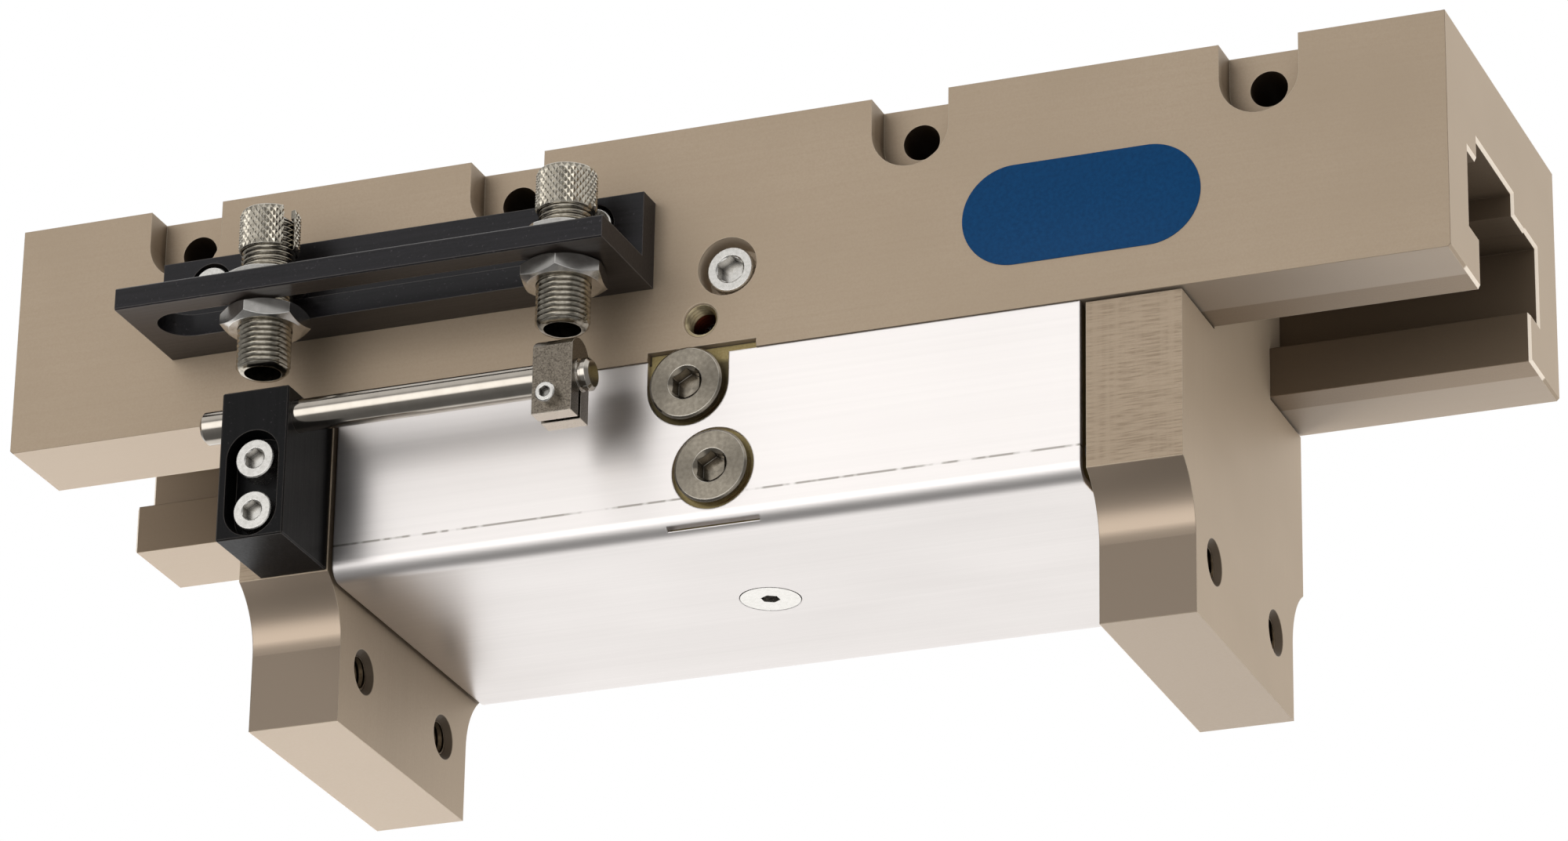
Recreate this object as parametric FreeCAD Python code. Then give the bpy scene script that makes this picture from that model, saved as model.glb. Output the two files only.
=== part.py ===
import FreeCAD, Part
import math
import os

os.makedirs("parts", exist_ok=True)
V = FreeCAD.Vector

# Housing profile, T-slot and top channel
housing_length = 220.0
housing_width = 56.0
housing_height = 36.0
side_wall = 10.0
lip_depth = 15.0
lip_height = 7.6
tee_height = 11.8
back_relief = 0.3
channel_width = 18.8
channel_height = 3.4
channel_inset = 4.8
end_break = 0.4

# Side fixing holes in their pockets, top threads and front wall holes
inner_hole_pitch = 62.4
outer_hole_pitch = 166.0
side_hole_d = 5.5
side_hole_drop = 5.5
pocket_width = 11.6
pocket_depth = 5.0
top_thread_pitch = 114.0
top_thread_inset = 8.0
m6_core = 5.0
m6_mouth = 6.8
top_thread_depth = 10.0
notch_width = 16.6
notch_height = 1.3
block_screw_x = 3.65
block_screw_rise = 5.55
block_screw_sunk = 1.0
block_screw_cbore = 9.0
set_screw_x = -0.3
set_screw_rise = 5.3
set_screw_length = 9.0
m5_thread = 5.0
m5_core = 4.2
m5_mouth = 5.4

# Base jaws
jaw_thick = 14.0
jaw_inset = 0.4
jaw_gap = 0.8
jaw_top_gap = 0.4
jaw_shoulder = 25.3
cove_radius = 11.0
foot_inset = 5.5
foot_height = 21.1
finger_pitch = 28.0
finger_rise = 10.4
slide_gap = 0.9

# Synchronising rack and pinion
module = 0.8
pinion_teeth = 12
profile_shift = 0.3
flank_angle = math.radians(20.0)
backlash = 0.12
rack_seat_rise = 0.3
rack_top_gap = 0.2
rack_side_gap = 0.1
rack_overrun = 8.0
rack_seat_length = 21.0
rack_screw_inset = 4.0
axle_d = 3.0
axle_hold = 6.0
axle_foot = 3.0
washer_d = 7.0
washer_gap = 0.05

# Cylinder block and drive
cover_length = 113.2
sheet = 1.0
cover_inset = 0.2
cover_top_gap = 0.1
block_end_gap = 0.2
block_top_gap = 0.3
block_height = 25.5
neck_gap = 0.2
neck_drop = 0.4
bore_d = 18.0
bore_wall = 4.8
bore_overlap = 6.4
piston_lead = 1.0
piston_thick = 8.0
piston_end_gap = 0.4
piston_rod_d = 8.0
rod_tail_d = 5.0
rod_stud_d = 6.0
rod_stud = 9.0
piston_nut_height = 3.2
piston_nut_flats = 8.0
gland_length = 5.2
ring_thick = 1.0
ring_groove = 0.6
ring_land = 0.8
ring_rim = 1.7
ring_gap = 5.0
seal_width = 2.5
rod_seal_d = 11.2
duct_d = 2.4
duct_wall = 2.0
duct_plug = 4.0
link_d = 1.6
link_shift = 3.2

# Ports with their plugs
port_upper_x = -2.1
port_upper_drop = 4.1
port_lower_x = 2.0
port_lower_rise = 8.1
port_core = 7.0
port_depth = 4.4
plug_head_d = 11.0
plug_head = 1.5
plug_hex = 4.0
plug_hex_depth = 2.6
plug_seal = 0.6

# Cover sheet
cover_fold = 2.6
cover_cut_gap = 0.7
slit_length = 14.0
slit_height = 0.6
slit_rise = 0.2
slit_inset = 0.3
cover_screw_d = 4.0
cover_screw_head = 8.8
cover_screw_gap = 0.2
cover_screw_length = 10.0

# Sensor bracket with its sleeves
bracket_left_x = -84.0
bracket_length = 76.3
bracket_reach = 19.0
bracket_leg = 3.4
bracket_wall = 4.3
bracket_height = 13.5
bracket_pocket_gap = 0.1
bracket_slot = 8.2
bracket_slot_inset = 3.4
bracket_screw_inset = 7.8
bracket_screw_drop = 4.2
sleeve_inset_left = 20.4
sleeve_inset_right = 9.1
sleeve_out = 11.0
sleeve_d = 7.9
sleeve_bore = 5.4
sleeve_above = 10.7
sleeve_tip_rise = 1.6
nut_flats = 11.4
nut_low = 3.0
nut_high = 2.0
nut_sink = 0.8
nut_slope = 30.0
low_nut_turns = (-3.0, 12.0)
high_nut_turns = (20.0, 40.0)
cap_d = 9.0
cap_height = 6.4
cap_hole = 6.8
cap_left_above = 5.7
cap_right_above = 4.9
cap_slit = 2.2
cap_left_turn = -23.0
cap_right_turn = 72.0

# Switching cam on the left jaw
holder_inset = 0.2
holder_width = 10.5
holder_reach = 14.4
holder_drop = 2.3
holder_height = 22.9
holder_pocket = 8.2
holder_pocket_depth = 3.6
holder_screw_pitch = 8.0
holder_screw_rise = 8.4
cam_rod_d = 4.8
cam_rod_drop = 5.9
cam_rod_stub = 4.2
cam_rod_tail = 2.0
cam_groove = 0.6
clamp_width = 6.0
clamp_deep = 6.2
clamp_front_drop = 2.0
clamp_crown = 1.6
clamp_back_drop = 3.3
clamp_height = 10.3
clamp_slit = 0.9
clamp_screw_rise = 2.6
clamp_screw_side = 2.6

# Standard cap screws: shank, head diameter, head height, hexagon
m16 = (1.6, 3.0, 1.6, 1.5)
m2 = (2.0, 3.0, 0.4, 1.3)
m3 = (3.0, 5.5, 3.0, 2.5)
holder_screw = (3.0, 6.0, 3.0, 2.8)
block_screw = (4.0, 7.0, 4.0, 3.8)
socket_mouth = 0.4
head_break = 0.2
thread_grip = 7.0
drill_spare = 1.0
free_hole = 0.3

# Fits
slack = 0.02
running = 0.03
slide_clear = 0.05
past = 1.0

# Derived places
half_width = housing_width / 2
half_length = housing_length / 2
front_y = -half_width
housing_low = -housing_height
mouth_half = half_width - lip_depth
wide_half = half_width - side_wall
slot_floor_z = housing_low + lip_height
shelf_z = slot_floor_z + tee_height
channel_z = shelf_z + channel_height
channel_front_y = channel_inset - wide_half
channel_back_y = channel_front_y + channel_width
side_hole_z = -side_hole_drop
block_screw_z = slot_floor_z + block_screw_rise
set_screw_z = housing_low + set_screw_rise

cover_half_length = cover_length / 2
block_half_length = cover_half_length - block_end_gap
block_half_width = half_width - cover_inset - sheet
block_top_z = housing_low - block_top_gap
block_bottom_z = block_top_z - block_height
bore_r = bore_d / 2
bore_y = block_half_width - bore_wall - bore_r
bore_z = (block_top_z + block_bottom_z) / 2
neck_half = notch_width / 2 - neck_gap
neck_top_z = shelf_z - neck_drop
ring_x = block_half_length - ring_land - ring_thick
gland_inner_x = ring_x - gland_length
stroke = gland_inner_x - piston_lead - piston_thick - piston_end_gap
port_upper = (port_upper_x, block_top_z - port_upper_drop)
port_lower = (port_lower_x, block_bottom_z + port_lower_rise)
duct_side_y = -block_half_width + port_depth * 0.64
duct_side_z = block_bottom_z + duct_wall * 2.1

jaw_inner_x = cover_half_length + jaw_gap
jaw_outer_x = jaw_inner_x + jaw_thick
jaw_half_depth = half_width - jaw_inset
jaw_top_z = housing_low - jaw_top_gap
cove_top_z = housing_low - jaw_shoulder
foot_half_depth = jaw_half_depth - foot_inset
foot_z = cove_top_z - foot_height
finger_hole_z = foot_z + finger_rise
slide_inner_x = neck_half + slide_gap

pinion_y = (channel_front_y + channel_back_y) / 2
pitch_r = module * pinion_teeth / 2
rack_line = pitch_r + module * profile_shift
rack_back = channel_width / 2 - rack_side_gap - rack_line
rack_root = module * 1.25
rack_top_z = channel_z - rack_top_gap
rack_seat_z = shelf_z + rack_seat_rise
rack_seat_end = slide_inner_x + rack_seat_length
pinion_base_z = rack_seat_z + rack_seat_rise

bracket_right_x = bracket_left_x + bracket_length
bracket_top_z = side_hole_z - pocket_width / 2 + bracket_pocket_gap
bracket_bottom_z = bracket_top_z - bracket_height
bracket_leg_z = bracket_bottom_z + bracket_leg
bracket_screw_z = bracket_top_z - bracket_screw_drop
bracket_screw_places = (bracket_left_x + bracket_screw_inset, bracket_right_x - bracket_screw_inset)
sleeve_left_x = bracket_left_x + sleeve_inset_left
sleeve_right_x = bracket_right_x - sleeve_inset_right
sleeve_y = front_y - sleeve_out
sleeve_top_z = bracket_leg_z + sleeve_above
sleeve_bottom_z = housing_low + sleeve_tip_rise

holder_right_x = -jaw_inner_x - holder_inset
holder_left_x = holder_right_x - holder_width
holder_mid_x = (holder_left_x + holder_right_x) / 2
holder_front_y = front_y - holder_reach
holder_top_z = housing_low - holder_drop
holder_bottom_z = holder_top_z - holder_height
holder_screw_mid_z = holder_bottom_z + holder_screw_rise
holder_screw_half = holder_screw_pitch / 2
holder_screw_heights = (holder_screw_mid_z + holder_screw_half, holder_screw_mid_z - holder_screw_half)
cam_rod_z = housing_low - cam_rod_drop
cam_rod_left_x = holder_left_x - cam_rod_stub
clamp_left_x = sleeve_right_x - clamp_width / 2
cam_rod_right_x = clamp_left_x + clamp_width + cam_rod_tail
clamp_front_y = sleeve_y - clamp_deep / 2
clamp_front_z = housing_low - clamp_front_drop
clamp_bottom_z = clamp_front_z - clamp_height


def box(x0, x1, y0, y1, z0, z1):
    return Part.makeBox(x1 - x0, y1 - y0, z1 - z0, V(x0, y0, z0))


def rod(d, length, at, along):
    return Part.makeCylinder(d / 2, length, at, along)


def cone(d0, d1, length, at, along):
    return Part.makeCone(d0 / 2, d1 / 2, length, at, along)


def ring(d_out, d_in, length, at, along):
    return rod(d_out, length, at, along).cut(rod(d_in, length, at, along))


def plate_x(points, x0, x1):
    loop = [V(x0, y, z) for y, z in points]
    face = Part.Face(Part.makePolygon(loop + loop[:1]))
    return face.extrude(V(x1 - x0, 0, 0))


def plate_z(points, z0, z1):
    loop = [V(x, y, z0) for x, y in points]
    face = Part.Face(Part.makePolygon(loop + loop[:1]))
    return face.extrude(V(0, 0, z1 - z0))


def hexagon(flats, length, at, along):
    loop = []
    for k in range(7):
        a = math.radians(60 * k + 30)
        loop.append(V(math.cos(a), math.sin(a), 0) * (flats / math.sqrt(3)))
    prism = Part.Face(Part.makePolygon(loop)).extrude(V(0, 0, length))
    prism.Placement = FreeCAD.Placement(at, FreeCAD.Rotation(V(0, 0, 1), along))
    return prism


def half_turn(shape):
    turned = shape.copy()
    turned.rotate(V(0, 0, 0), V(0, 0, 1), 180)
    return turned


def both(shape):
    return [shape, half_turn(shape)]


def obround(width, length, depth, at, along, run):
    # The at point is the middle, run is the long way and along the depth
    off = run * ((length - width) / 2)
    side = along.cross(run) * (width / 2)
    loop = [at - off - side, at + off - side, at + off + side, at - off + side]
    bar = Part.Face(Part.makePolygon(loop + loop[:1])).extrude(along * depth)
    return bar.fuse([rod(width, depth, at - off, along), rod(width, depth, at + off, along)])


def cap_screw(size, grip, face, along):
    # The head sits on the face point and the shank goes along
    d, head_d, head_h, flats = size
    top = face - along * head_h
    head = rod(head_d, head_h, top, along)
    rim = [e for e in head.Edges if e.Closed and e.CenterOfMass.distanceToPoint(top) < head_h / 2]
    head = head.makeChamfer(min(head_break, head_h * 0.1), rim)
    screw = head.fuse(rod(d, grip, face, along))
    corner = flats * 2 / math.sqrt(3)
    mouth = cone(corner, corner - socket_mouth, socket_mouth / 2, top, along)
    return screw.cut([hexagon(flats, head_h * 0.55, top, along), mouth]).removeSplitter()


def housing():
    body = box(-half_length, half_length, -half_width, half_width, housing_low, 0)
    back_shelf_z = shelf_z + back_relief
    back_step_y = (channel_back_y + wide_half) / 2
    slot = [(-mouth_half, housing_low - past), (mouth_half, housing_low - past),
            (mouth_half, slot_floor_z), (wide_half, slot_floor_z),
            (wide_half, back_shelf_z), (back_step_y, back_shelf_z), (back_step_y, shelf_z),
            (channel_back_y, shelf_z), (channel_back_y, channel_z),
            (channel_front_y, channel_z), (channel_front_y, shelf_z),
            (-wide_half, shelf_z), (-wide_half, slot_floor_z), (-mouth_half, slot_floor_z)]
    body = body.cut(plate_x(slot, -half_length - past, half_length + past))
    ends = []
    for edge in body.Edges:
        c = edge.CenterOfMass
        at_end = abs(abs(c.x) - half_length) < slack
        if at_end and abs(c.y) < half_width - slack and c.z < -slack:
            ends.append(edge)
    body = body.makeChamfer(end_break, ends)
    return body.cut(side_cuts() + top_cuts() + middle_cuts()).removeSplitter()


def side_cuts():
    # Four pockets open to the top edge, each with a hole right through
    into = V(0, 1, 0)
    r = pocket_width / 2
    cuts = []
    for pitch in (inner_hole_pitch, outer_hole_pitch):
        for x in (-pitch / 2, pitch / 2):
            at = V(x, front_y, side_hole_z)
            cuts.append(rod(pocket_width, pocket_depth, at, into))
            cuts.append(box(x - r, x + r, front_y, front_y + pocket_depth, side_hole_z, past))
            cuts.append(rod(side_hole_d, housing_width, at, into))
    for x in bracket_screw_places:
        at = V(x, front_y, bracket_screw_z)
        cuts.append(rod(m3[0] + slack * 2, thread_grip + drill_spare, at, into))
    return cuts


def top_cuts():
    up = V(0, 0, 1)
    sink = (m6_mouth - m6_core) / 2
    y = half_width - top_thread_inset
    cuts = []
    for place in (V(top_thread_pitch / 2, y, 0), V(top_thread_pitch / 2, -y, 0)):
        cuts += both(rod(m6_core, top_thread_depth, place - up * top_thread_depth, up))
        cuts += both(cone(m6_core, m6_mouth, sink, place - up * sink, up))
    return cuts


def middle_cuts():
    # Holes at mid length that hold the cylinder block and the pinion axle
    into = V(0, 1, 0)
    cuts = [box(-notch_width / 2, notch_width / 2, -half_width, half_width,
                housing_low, housing_low + notch_height)]
    screw = V(block_screw_x, front_y, block_screw_z)
    cuts += both(rod(block_screw_cbore, block_screw[2] + block_screw_sunk, screw, into))
    cuts += both(rod(block_screw[0] + free_hole, side_wall, screw, into))
    grub = V(set_screw_x, front_y, set_screw_z)
    cuts += both(rod(m5_core, lip_depth, grub, into))
    cuts += both(rod(m5_thread, lip_depth + slide_clear - set_screw_length, grub, into))
    cuts += both(cone(m5_mouth, m5_thread, (m5_mouth - m5_thread) / 2, grub, into))
    cuts.append(rod(axle_d, axle_hold, V(0, pinion_y, channel_z), V(0, 0, 1)))
    return cuts


def base_jaw(rack_y):
    # Right-hand jaw with its T-slide reaching inward, rack_y is the middle of its rack seat
    body = box(jaw_inner_x, jaw_outer_x, -jaw_half_depth, jaw_half_depth, foot_z, jaw_top_z)
    drop = math.sqrt(cove_radius ** 2 - (cove_radius - foot_inset) ** 2)
    cove_z = cove_top_z - drop
    for side in (-1, 1):
        y0, y1 = sorted((side * foot_half_depth, side * (jaw_half_depth + past)))
        waste = box(jaw_inner_x, jaw_outer_x, y0, y1, foot_z, cove_z)
        centre = V(jaw_inner_x, side * (foot_half_depth + cove_radius), cove_z)
        curve = rod(cove_radius * 2, jaw_thick, centre, V(1, 0, 0))
        corner = box(jaw_inner_x, jaw_outer_x, y0, y1, cove_z, cove_top_z)
        body = body.cut([waste, curve.common(corner)])
    mouth = mouth_half - slide_clear
    wide = wide_half - slide_clear
    top = shelf_z - slide_clear
    under = slot_floor_z + slide_clear
    low = housing_low + slide_clear * 2
    tee = [(-mouth, low), (mouth, low), (mouth, under), (wide, under),
           (wide, top), (-wide, top), (-wide, under), (-mouth, under)]
    seat = (rack_back - rack_root) / 2
    pad = box(slide_inner_x, rack_seat_end, rack_y - seat, rack_y + seat, top - past, rack_seat_z)
    body = body.fuse([plate_x(tee, slide_inner_x, jaw_outer_x), pad,
                      box(jaw_inner_x, jaw_outer_x, -mouth, mouth, jaw_top_z - past, low)])
    sink = (m6_mouth - m6_core) / 2
    along = V(1, 0, 0)
    cuts = [rod(rod_stud_d + slack * 2, rod_stud + drill_spare, V(jaw_inner_x, -bore_y, bore_z), along)]
    for y in (-finger_pitch / 2, finger_pitch / 2):
        inner = V(jaw_inner_x, y, finger_hole_z)
        cuts.append(rod(m6_core, jaw_thick, inner, along))
        cuts.append(cone(m6_mouth, m6_core, sink, inner, along))
        cuts.append(cone(m6_mouth, m6_core, sink, inner + along * jaw_thick, along * -1))
    for x in rack_screw_places():
        cuts.append(rod(m2[0] + slack * 2, thread_grip, V(x, rack_y, rack_seat_z), V(0, 0, -1)))
    return body.cut(cuts).removeSplitter()


def rack_middle():
    # Distance from the pinion axis to the middle of a rack's solid back
    return rack_line + (rack_back + rack_root) / 2


def right_base_jaw():
    return base_jaw(pinion_y + rack_middle())


def left_base_jaw():
    jaw = half_turn(base_jaw(rack_middle() - pinion_y))
    for z in holder_screw_heights:
        at = V(holder_mid_x, -jaw_half_depth, z)
        jaw = jaw.cut(rod(holder_screw[0] + slack * 2, thread_grip + drill_spare, at, V(0, 1, 0)))
    return jaw


def rack_screw_places():
    return (slide_inner_x + rack_screw_inset, rack_seat_end - rack_screw_inset)


def rack_bar():
    # Bare rack with its reference line on y = 0 and its teeth towards -Y
    pitch = math.pi * module
    slope = math.tan(flank_angle)
    half_tip = pitch / 4 - module * slope
    half_root = pitch / 4 + rack_root * slope
    far_end = -stroke - rack_overrun
    outline = [(rack_seat_end, rack_back), (far_end, rack_back), (far_end, rack_root)]
    for k in range(math.ceil(far_end / pitch), math.floor(slide_inner_x / pitch)):
        mid = (k + 0.5) * pitch
        outline += [(mid - half_root, rack_root), (mid - half_tip, -module),
                    (mid + half_tip, -module), (mid + half_root, rack_root)]
    outline.append((rack_seat_end, rack_root))
    bar = plate_z(outline, rack_seat_z, rack_top_z)
    down = V(0, 0, -1)
    for x in rack_screw_places():
        at = V(x, (rack_back + rack_root) / 2, rack_top_z)
        bar = bar.cut([rod(m2[0] + free_hole, rack_top_z - rack_seat_z, at, down),
                       cone(m2[1], m2[0] + free_hole, m2[2], at, down)])
    return bar


def rack_screws():
    # Countersunk screws in the frame of the bare rack
    down = V(0, 0, -1)
    found = []
    for x in rack_screw_places():
        at = V(x, (rack_back + rack_root) / 2, rack_top_z)
        screw = cone(m2[1], m2[0] + free_hole, m2[2], at, down)
        screw = screw.fuse(rod(m2[0], thread_grip + drill_spare, at, down))
        found.append(screw.cut(hexagon(m2[3], m2[2] * 2, at, down)).removeSplitter())
    return Part.makeCompound(found)


def on_right(shape):
    shape.translate(V(0, pinion_y + rack_line, 0))
    return shape


def on_left(shape):
    turned = half_turn(shape)
    turned.translate(V(0, pinion_y - rack_line, 0))
    return turned


def involute(r):
    base = pitch_r * math.cos(flank_angle)
    if r <= base:
        return 0.0
    a = math.acos(base / r)
    return math.tan(a) - a


def pinion():
    tip_r = pitch_r + module * (1 + profile_shift)
    root_r = rack_line - rack_root
    thick = module * (math.pi / 2 + 2 * profile_shift * math.tan(flank_angle)) - backlash
    half = thick / 2 / pitch_r + involute(pitch_r)
    steps = [root_r + (tip_r - root_r) * k / 6 for k in range(7)]
    outline = []
    for tooth in range(pinion_teeth):
        mid = 2 * math.pi * tooth / pinion_teeth + math.pi / 2
        rise = [(r, mid - half + involute(r)) for r in steps]
        fall = [(r, mid + half - involute(r)) for r in reversed(steps)]
        outline += [(r * math.cos(a), r * math.sin(a)) for r, a in rise + fall]
    gear = plate_z(outline, pinion_base_z, rack_top_z)
    height = rack_top_z - pinion_base_z
    gear = gear.cut(rod(axle_d + running * 2, height, V(0, 0, pinion_base_z), V(0, 0, 1)))
    gear.translate(V(0, pinion_y, 0))
    return gear


def pinion_axle():
    low = neck_top_z - axle_foot
    pin = rod(axle_d, channel_z + axle_hold - low, V(0, pinion_y, low), V(0, 0, 1))
    return pin.makeChamfer(axle_d / 10, [e for e in pin.Edges if e.Closed])


def pinion_washer():
    height = pinion_base_z - washer_gap - neck_top_z
    return ring(washer_d, axle_d + slack * 2, height, V(0, pinion_y, neck_top_z), V(0, 0, 1))


def cylinder_block():
    x = block_half_length
    y = block_half_width
    body = box(-x, x, -y, y, block_bottom_z, block_top_z)
    body = body.makeFillet(cover_fold - sheet + slide_clear, bottom_folds(body))
    land = housing_low + notch_height - neck_gap / 2
    mouth = mouth_half - slide_clear
    wide = wide_half - slide_clear
    under = slot_floor_z + slide_clear
    body = body.fuse([box(-neck_half, neck_half, -y, y, block_top_z - past, land),
                      box(-neck_half, neck_half, -mouth, mouth, block_top_z - past, neck_top_z),
                      box(-neck_half, neck_half, -wide, wide, under, neck_top_z)])
    along = V(1, 0, 0)
    into = V(0, 1, 0)
    up = V(0, 0, 1)
    cuts = both(rod(bore_d, x + bore_overlap, V(-bore_overlap, -bore_y, bore_z), along))
    cuts += both(rod(bore_d + ring_groove * 2, ring_thick, V(ring_x, -bore_y, bore_z), along))
    for px, pz in (port_upper, port_lower):
        cuts += both(rod(port_core, port_depth, V(px, -y, pz), into))
    cuts += ducts()
    seat = V(0, 0, block_bottom_z)
    wide_d = cover_screw_head - sheet * 2 + slack * 2
    cuts.append(cone(wide_d, cover_screw_d, (wide_d - cover_screw_d) / 2, seat, up))
    cuts.append(rod(cover_screw_d + slack * 2, cover_screw_length, seat, up))
    screw = V(block_screw_x, -wide, block_screw_z)
    cuts += both(rod(block_screw[0] + slack * 2, thread_grip + drill_spare, screw, into))
    foot = V(0, pinion_y, neck_top_z - axle_foot - drill_spare)
    cuts.append(rod(axle_d + slack * 2, axle_foot + drill_spare, foot, up))
    return body.cut(cuts).removeSplitter()


def ducts():
    # Air ways: upper ports to the blind bore ends, lower ports to the rod ends
    up = V(0, 0, 1)
    top = V(port_upper_x, -block_half_width + port_depth - duct_d / 2, block_top_z - duct_wall)
    found = [straight_duct(duct_d, top, V(-top.x, -top.y, top.z))]
    found += both(rod(duct_d, top.z - bore_z, V(-piston_lead, -bore_y, bore_z), up))
    # The link of the lower ports passes beside the cover screw
    low_z = block_bottom_z + duct_wall
    front = V(link_shift + port_lower_x, duct_side_y, low_z)
    back = V(link_shift - port_lower_x, -duct_side_y, low_z)
    found.append(straight_duct(link_d, front, back))
    for foot in (front, back):
        found.append(rod(link_d, port_lower_rise - duct_wall, foot, up))
    side = V(port_lower_x, duct_side_y, duct_side_z)
    found += both(rod(duct_d, block_half_length - port_lower_x, side, V(1, 0, 0)))
    feed = V(gland_inner_x - piston_end_gap / 2, duct_side_y, duct_side_z)
    to_bore = V(feed.x, -bore_y, bore_z) - feed
    found += both(rod(link_d, to_bore.Length - bore_r + past, feed, to_bore))
    return found


def straight_duct(d, start, end):
    return rod(d, start.distanceToPoint(end), start, end - start)


def duct_plugs():
    at = V(block_half_length - duct_plug, duct_side_y, duct_side_z)
    return Part.makeCompound(both(rod(duct_d - slack * 2, duct_plug, at, V(1, 0, 0))))


def gland():
    # Rod guide of the right end, with a groove for the rod seal
    along = V(1, 0, 0)
    at = V(gland_inner_x, -bore_y, bore_z)
    body = rod(bore_d - slack * 2, gland_length, at, along)
    rim = [e for e in body.Edges if e.Closed and e.CenterOfMass.x < gland_inner_x + slack]
    body = body.makeChamfer(past, rim)
    groove = V(gland_inner_x + (gland_length - seal_width) / 2, -bore_y, bore_z)
    return body.cut([rod(piston_rod_d + running * 2, gland_length, at, along),
                     rod(rod_seal_d, seal_width, groove, along)])


def rod_seal():
    at = V(gland_inner_x + (gland_length - seal_width) / 2 + slack, -bore_y, bore_z)
    return ring(rod_seal_d - slack * 2, piston_rod_d + slack * 2, seal_width - slack * 2, at, V(1, 0, 0))


def retaining_ring():
    at = V(ring_x, -bore_y, bore_z)
    outer = bore_d + ring_groove * 2 - slack * 4
    circlip = ring(outer, bore_d - ring_rim * 2, ring_thick - slack, at, V(1, 0, 0))
    half = ring_gap / 2
    gap = box(ring_x, ring_x + ring_thick, -bore_y - half, -bore_y + half, bore_z, bore_z + bore_d)
    return circlip.cut(gap)


def piston():
    along = V(1, 0, 0)
    at = V(piston_lead, -bore_y, bore_z)
    body = rod(bore_d - running * 2, piston_thick, at, along)
    body = body.makeChamfer(piston_end_gap, [e for e in body.Edges if e.Closed])
    mid = at + along * ((piston_thick - seal_width) / 2)
    groove = ring(bore_d, bore_d - seal_width * 2, seal_width, mid, along)
    return body.cut([groove, rod(rod_tail_d + slack * 2, piston_thick, at, along)])


def piston_seal():
    along = V(1, 0, 0)
    at = V(piston_lead + (piston_thick - seal_width) / 2 + slack, -bore_y, bore_z)
    width = seal_width - slack * 2
    body = rod(bore_d - slack * 2, width, at, along)
    body = body.makeFillet(width / 4, [e for e in body.Edges if e.Closed])
    return body.cut(rod(bore_d - seal_width * 2 + slack * 2, width, at, along))


def piston_nut():
    at = V(piston_lead - piston_nut_height, -bore_y, bore_z)
    nut = hexagon(piston_nut_flats, piston_nut_height, at, V(1, 0, 0))
    return nut.cut(rod(rod_tail_d + slack * 2, piston_nut_height, at, V(1, 0, 0)))


def piston_rod():
    along = V(1, 0, 0)
    shoulder = piston_lead + piston_thick
    tail = piston_lead - piston_nut_height - drill_spare
    bar = rod(piston_rod_d, jaw_inner_x - shoulder, V(shoulder, -bore_y, bore_z), along)
    return bar.fuse([rod(rod_tail_d, shoulder - tail, V(tail, -bore_y, bore_z), along),
                     rod(rod_stud_d, rod_stud, V(jaw_inner_x, -bore_y, bore_z), along)]).removeSplitter()


def port_plug(place):
    # Flat headed screw plug whose head stands a little proud of the cover
    x, z = place
    into = V(0, 1, 0)
    seat = V(x, -block_half_width - plug_seal, z)
    face = seat - into * plug_head
    head = rod(plug_head_d, plug_head, face, into)
    rim = [e for e in head.Edges if e.Closed and e.CenterOfMass.y < face.y + slack]
    body = head.makeChamfer(plug_head / 5, rim)
    body = body.fuse(rod(port_core - slack * 2, port_depth, seat, into))
    return body.cut([hexagon(plug_hex, plug_hex_depth, face, into),
                     cone(plug_hex * 1.3, plug_hex, plug_hex * 0.15, face, into)]).removeSplitter()


def plug_seals():
    found = []
    for x, z in (port_upper, port_lower):
        at = V(x, -block_half_width - plug_seal, z)
        found.append(ring(plug_head_d - plug_seal, port_core, plug_seal, at, V(0, 1, 0)))
    return Part.makeCompound(found)


def bottom_folds(body):
    low = body.BoundBox.ZMin
    return [e for e in body.Edges if abs(e.CenterOfMass.x) < slack and e.CenterOfMass.z < low + slack]


def cover_sheet():
    # Bright sheet folded to a U round the cylinder block
    outer_y = block_half_width + sheet
    low = block_bottom_z - sheet
    top = housing_low - cover_top_gap
    skin = box(-cover_half_length, cover_half_length, -outer_y, outer_y, low, top)
    skin = skin.makeFillet(cover_fold, bottom_folds(skin))
    inner_y = block_half_width
    core = box(-cover_half_length, cover_half_length, -inner_y, inner_y, block_bottom_z, top)
    core = core.makeFillet(cover_fold - sheet, bottom_folds(core))
    into = V(0, 1, 0)
    cut_d = plug_head_d + cover_cut_gap * 2
    cuts = [core]
    for px, pz in (port_upper, port_lower):
        cuts += both(rod(cut_d, sheet, V(px, -outer_y, pz), into))
    ux, uz = port_upper
    cuts += both(box(ux - cut_d / 2, ux + cut_d / 2, -outer_y, -block_half_width, uz, top))
    x0 = port_lower_x - slit_length / 2
    slit_top = block_bottom_z + slit_rise
    slit_end = cover_fold - slit_inset
    cuts += both(box(x0, x0 + slit_length, -outer_y, slit_end - outer_y, slit_top - slit_height, slit_top))
    mouth = cover_screw_head + cover_screw_gap * 2
    cuts.append(cone(mouth, mouth - sheet * 2, sheet, V(0, 0, low), V(0, 0, 1)))
    return skin.cut(cuts).removeSplitter()


def cover_screw():
    up = V(0, 0, 1)
    face = V(0, 0, block_bottom_z - sheet)
    body = cone(cover_screw_head, cover_screw_d, (cover_screw_head - cover_screw_d) / 2, face, up)
    body = body.fuse(rod(cover_screw_d, cover_screw_length, face, up))
    return body.cut(hexagon(m3[3], cover_screw_head * 0.22, face, up)).removeSplitter()


def block_screws():
    sunk = block_screw[2] + block_screw_sunk
    face = V(block_screw_x, front_y + sunk, block_screw_z)
    return Part.makeCompound(both(cap_screw(block_screw, side_wall - sunk + thread_grip, face, V(0, 1, 0))))


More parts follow.
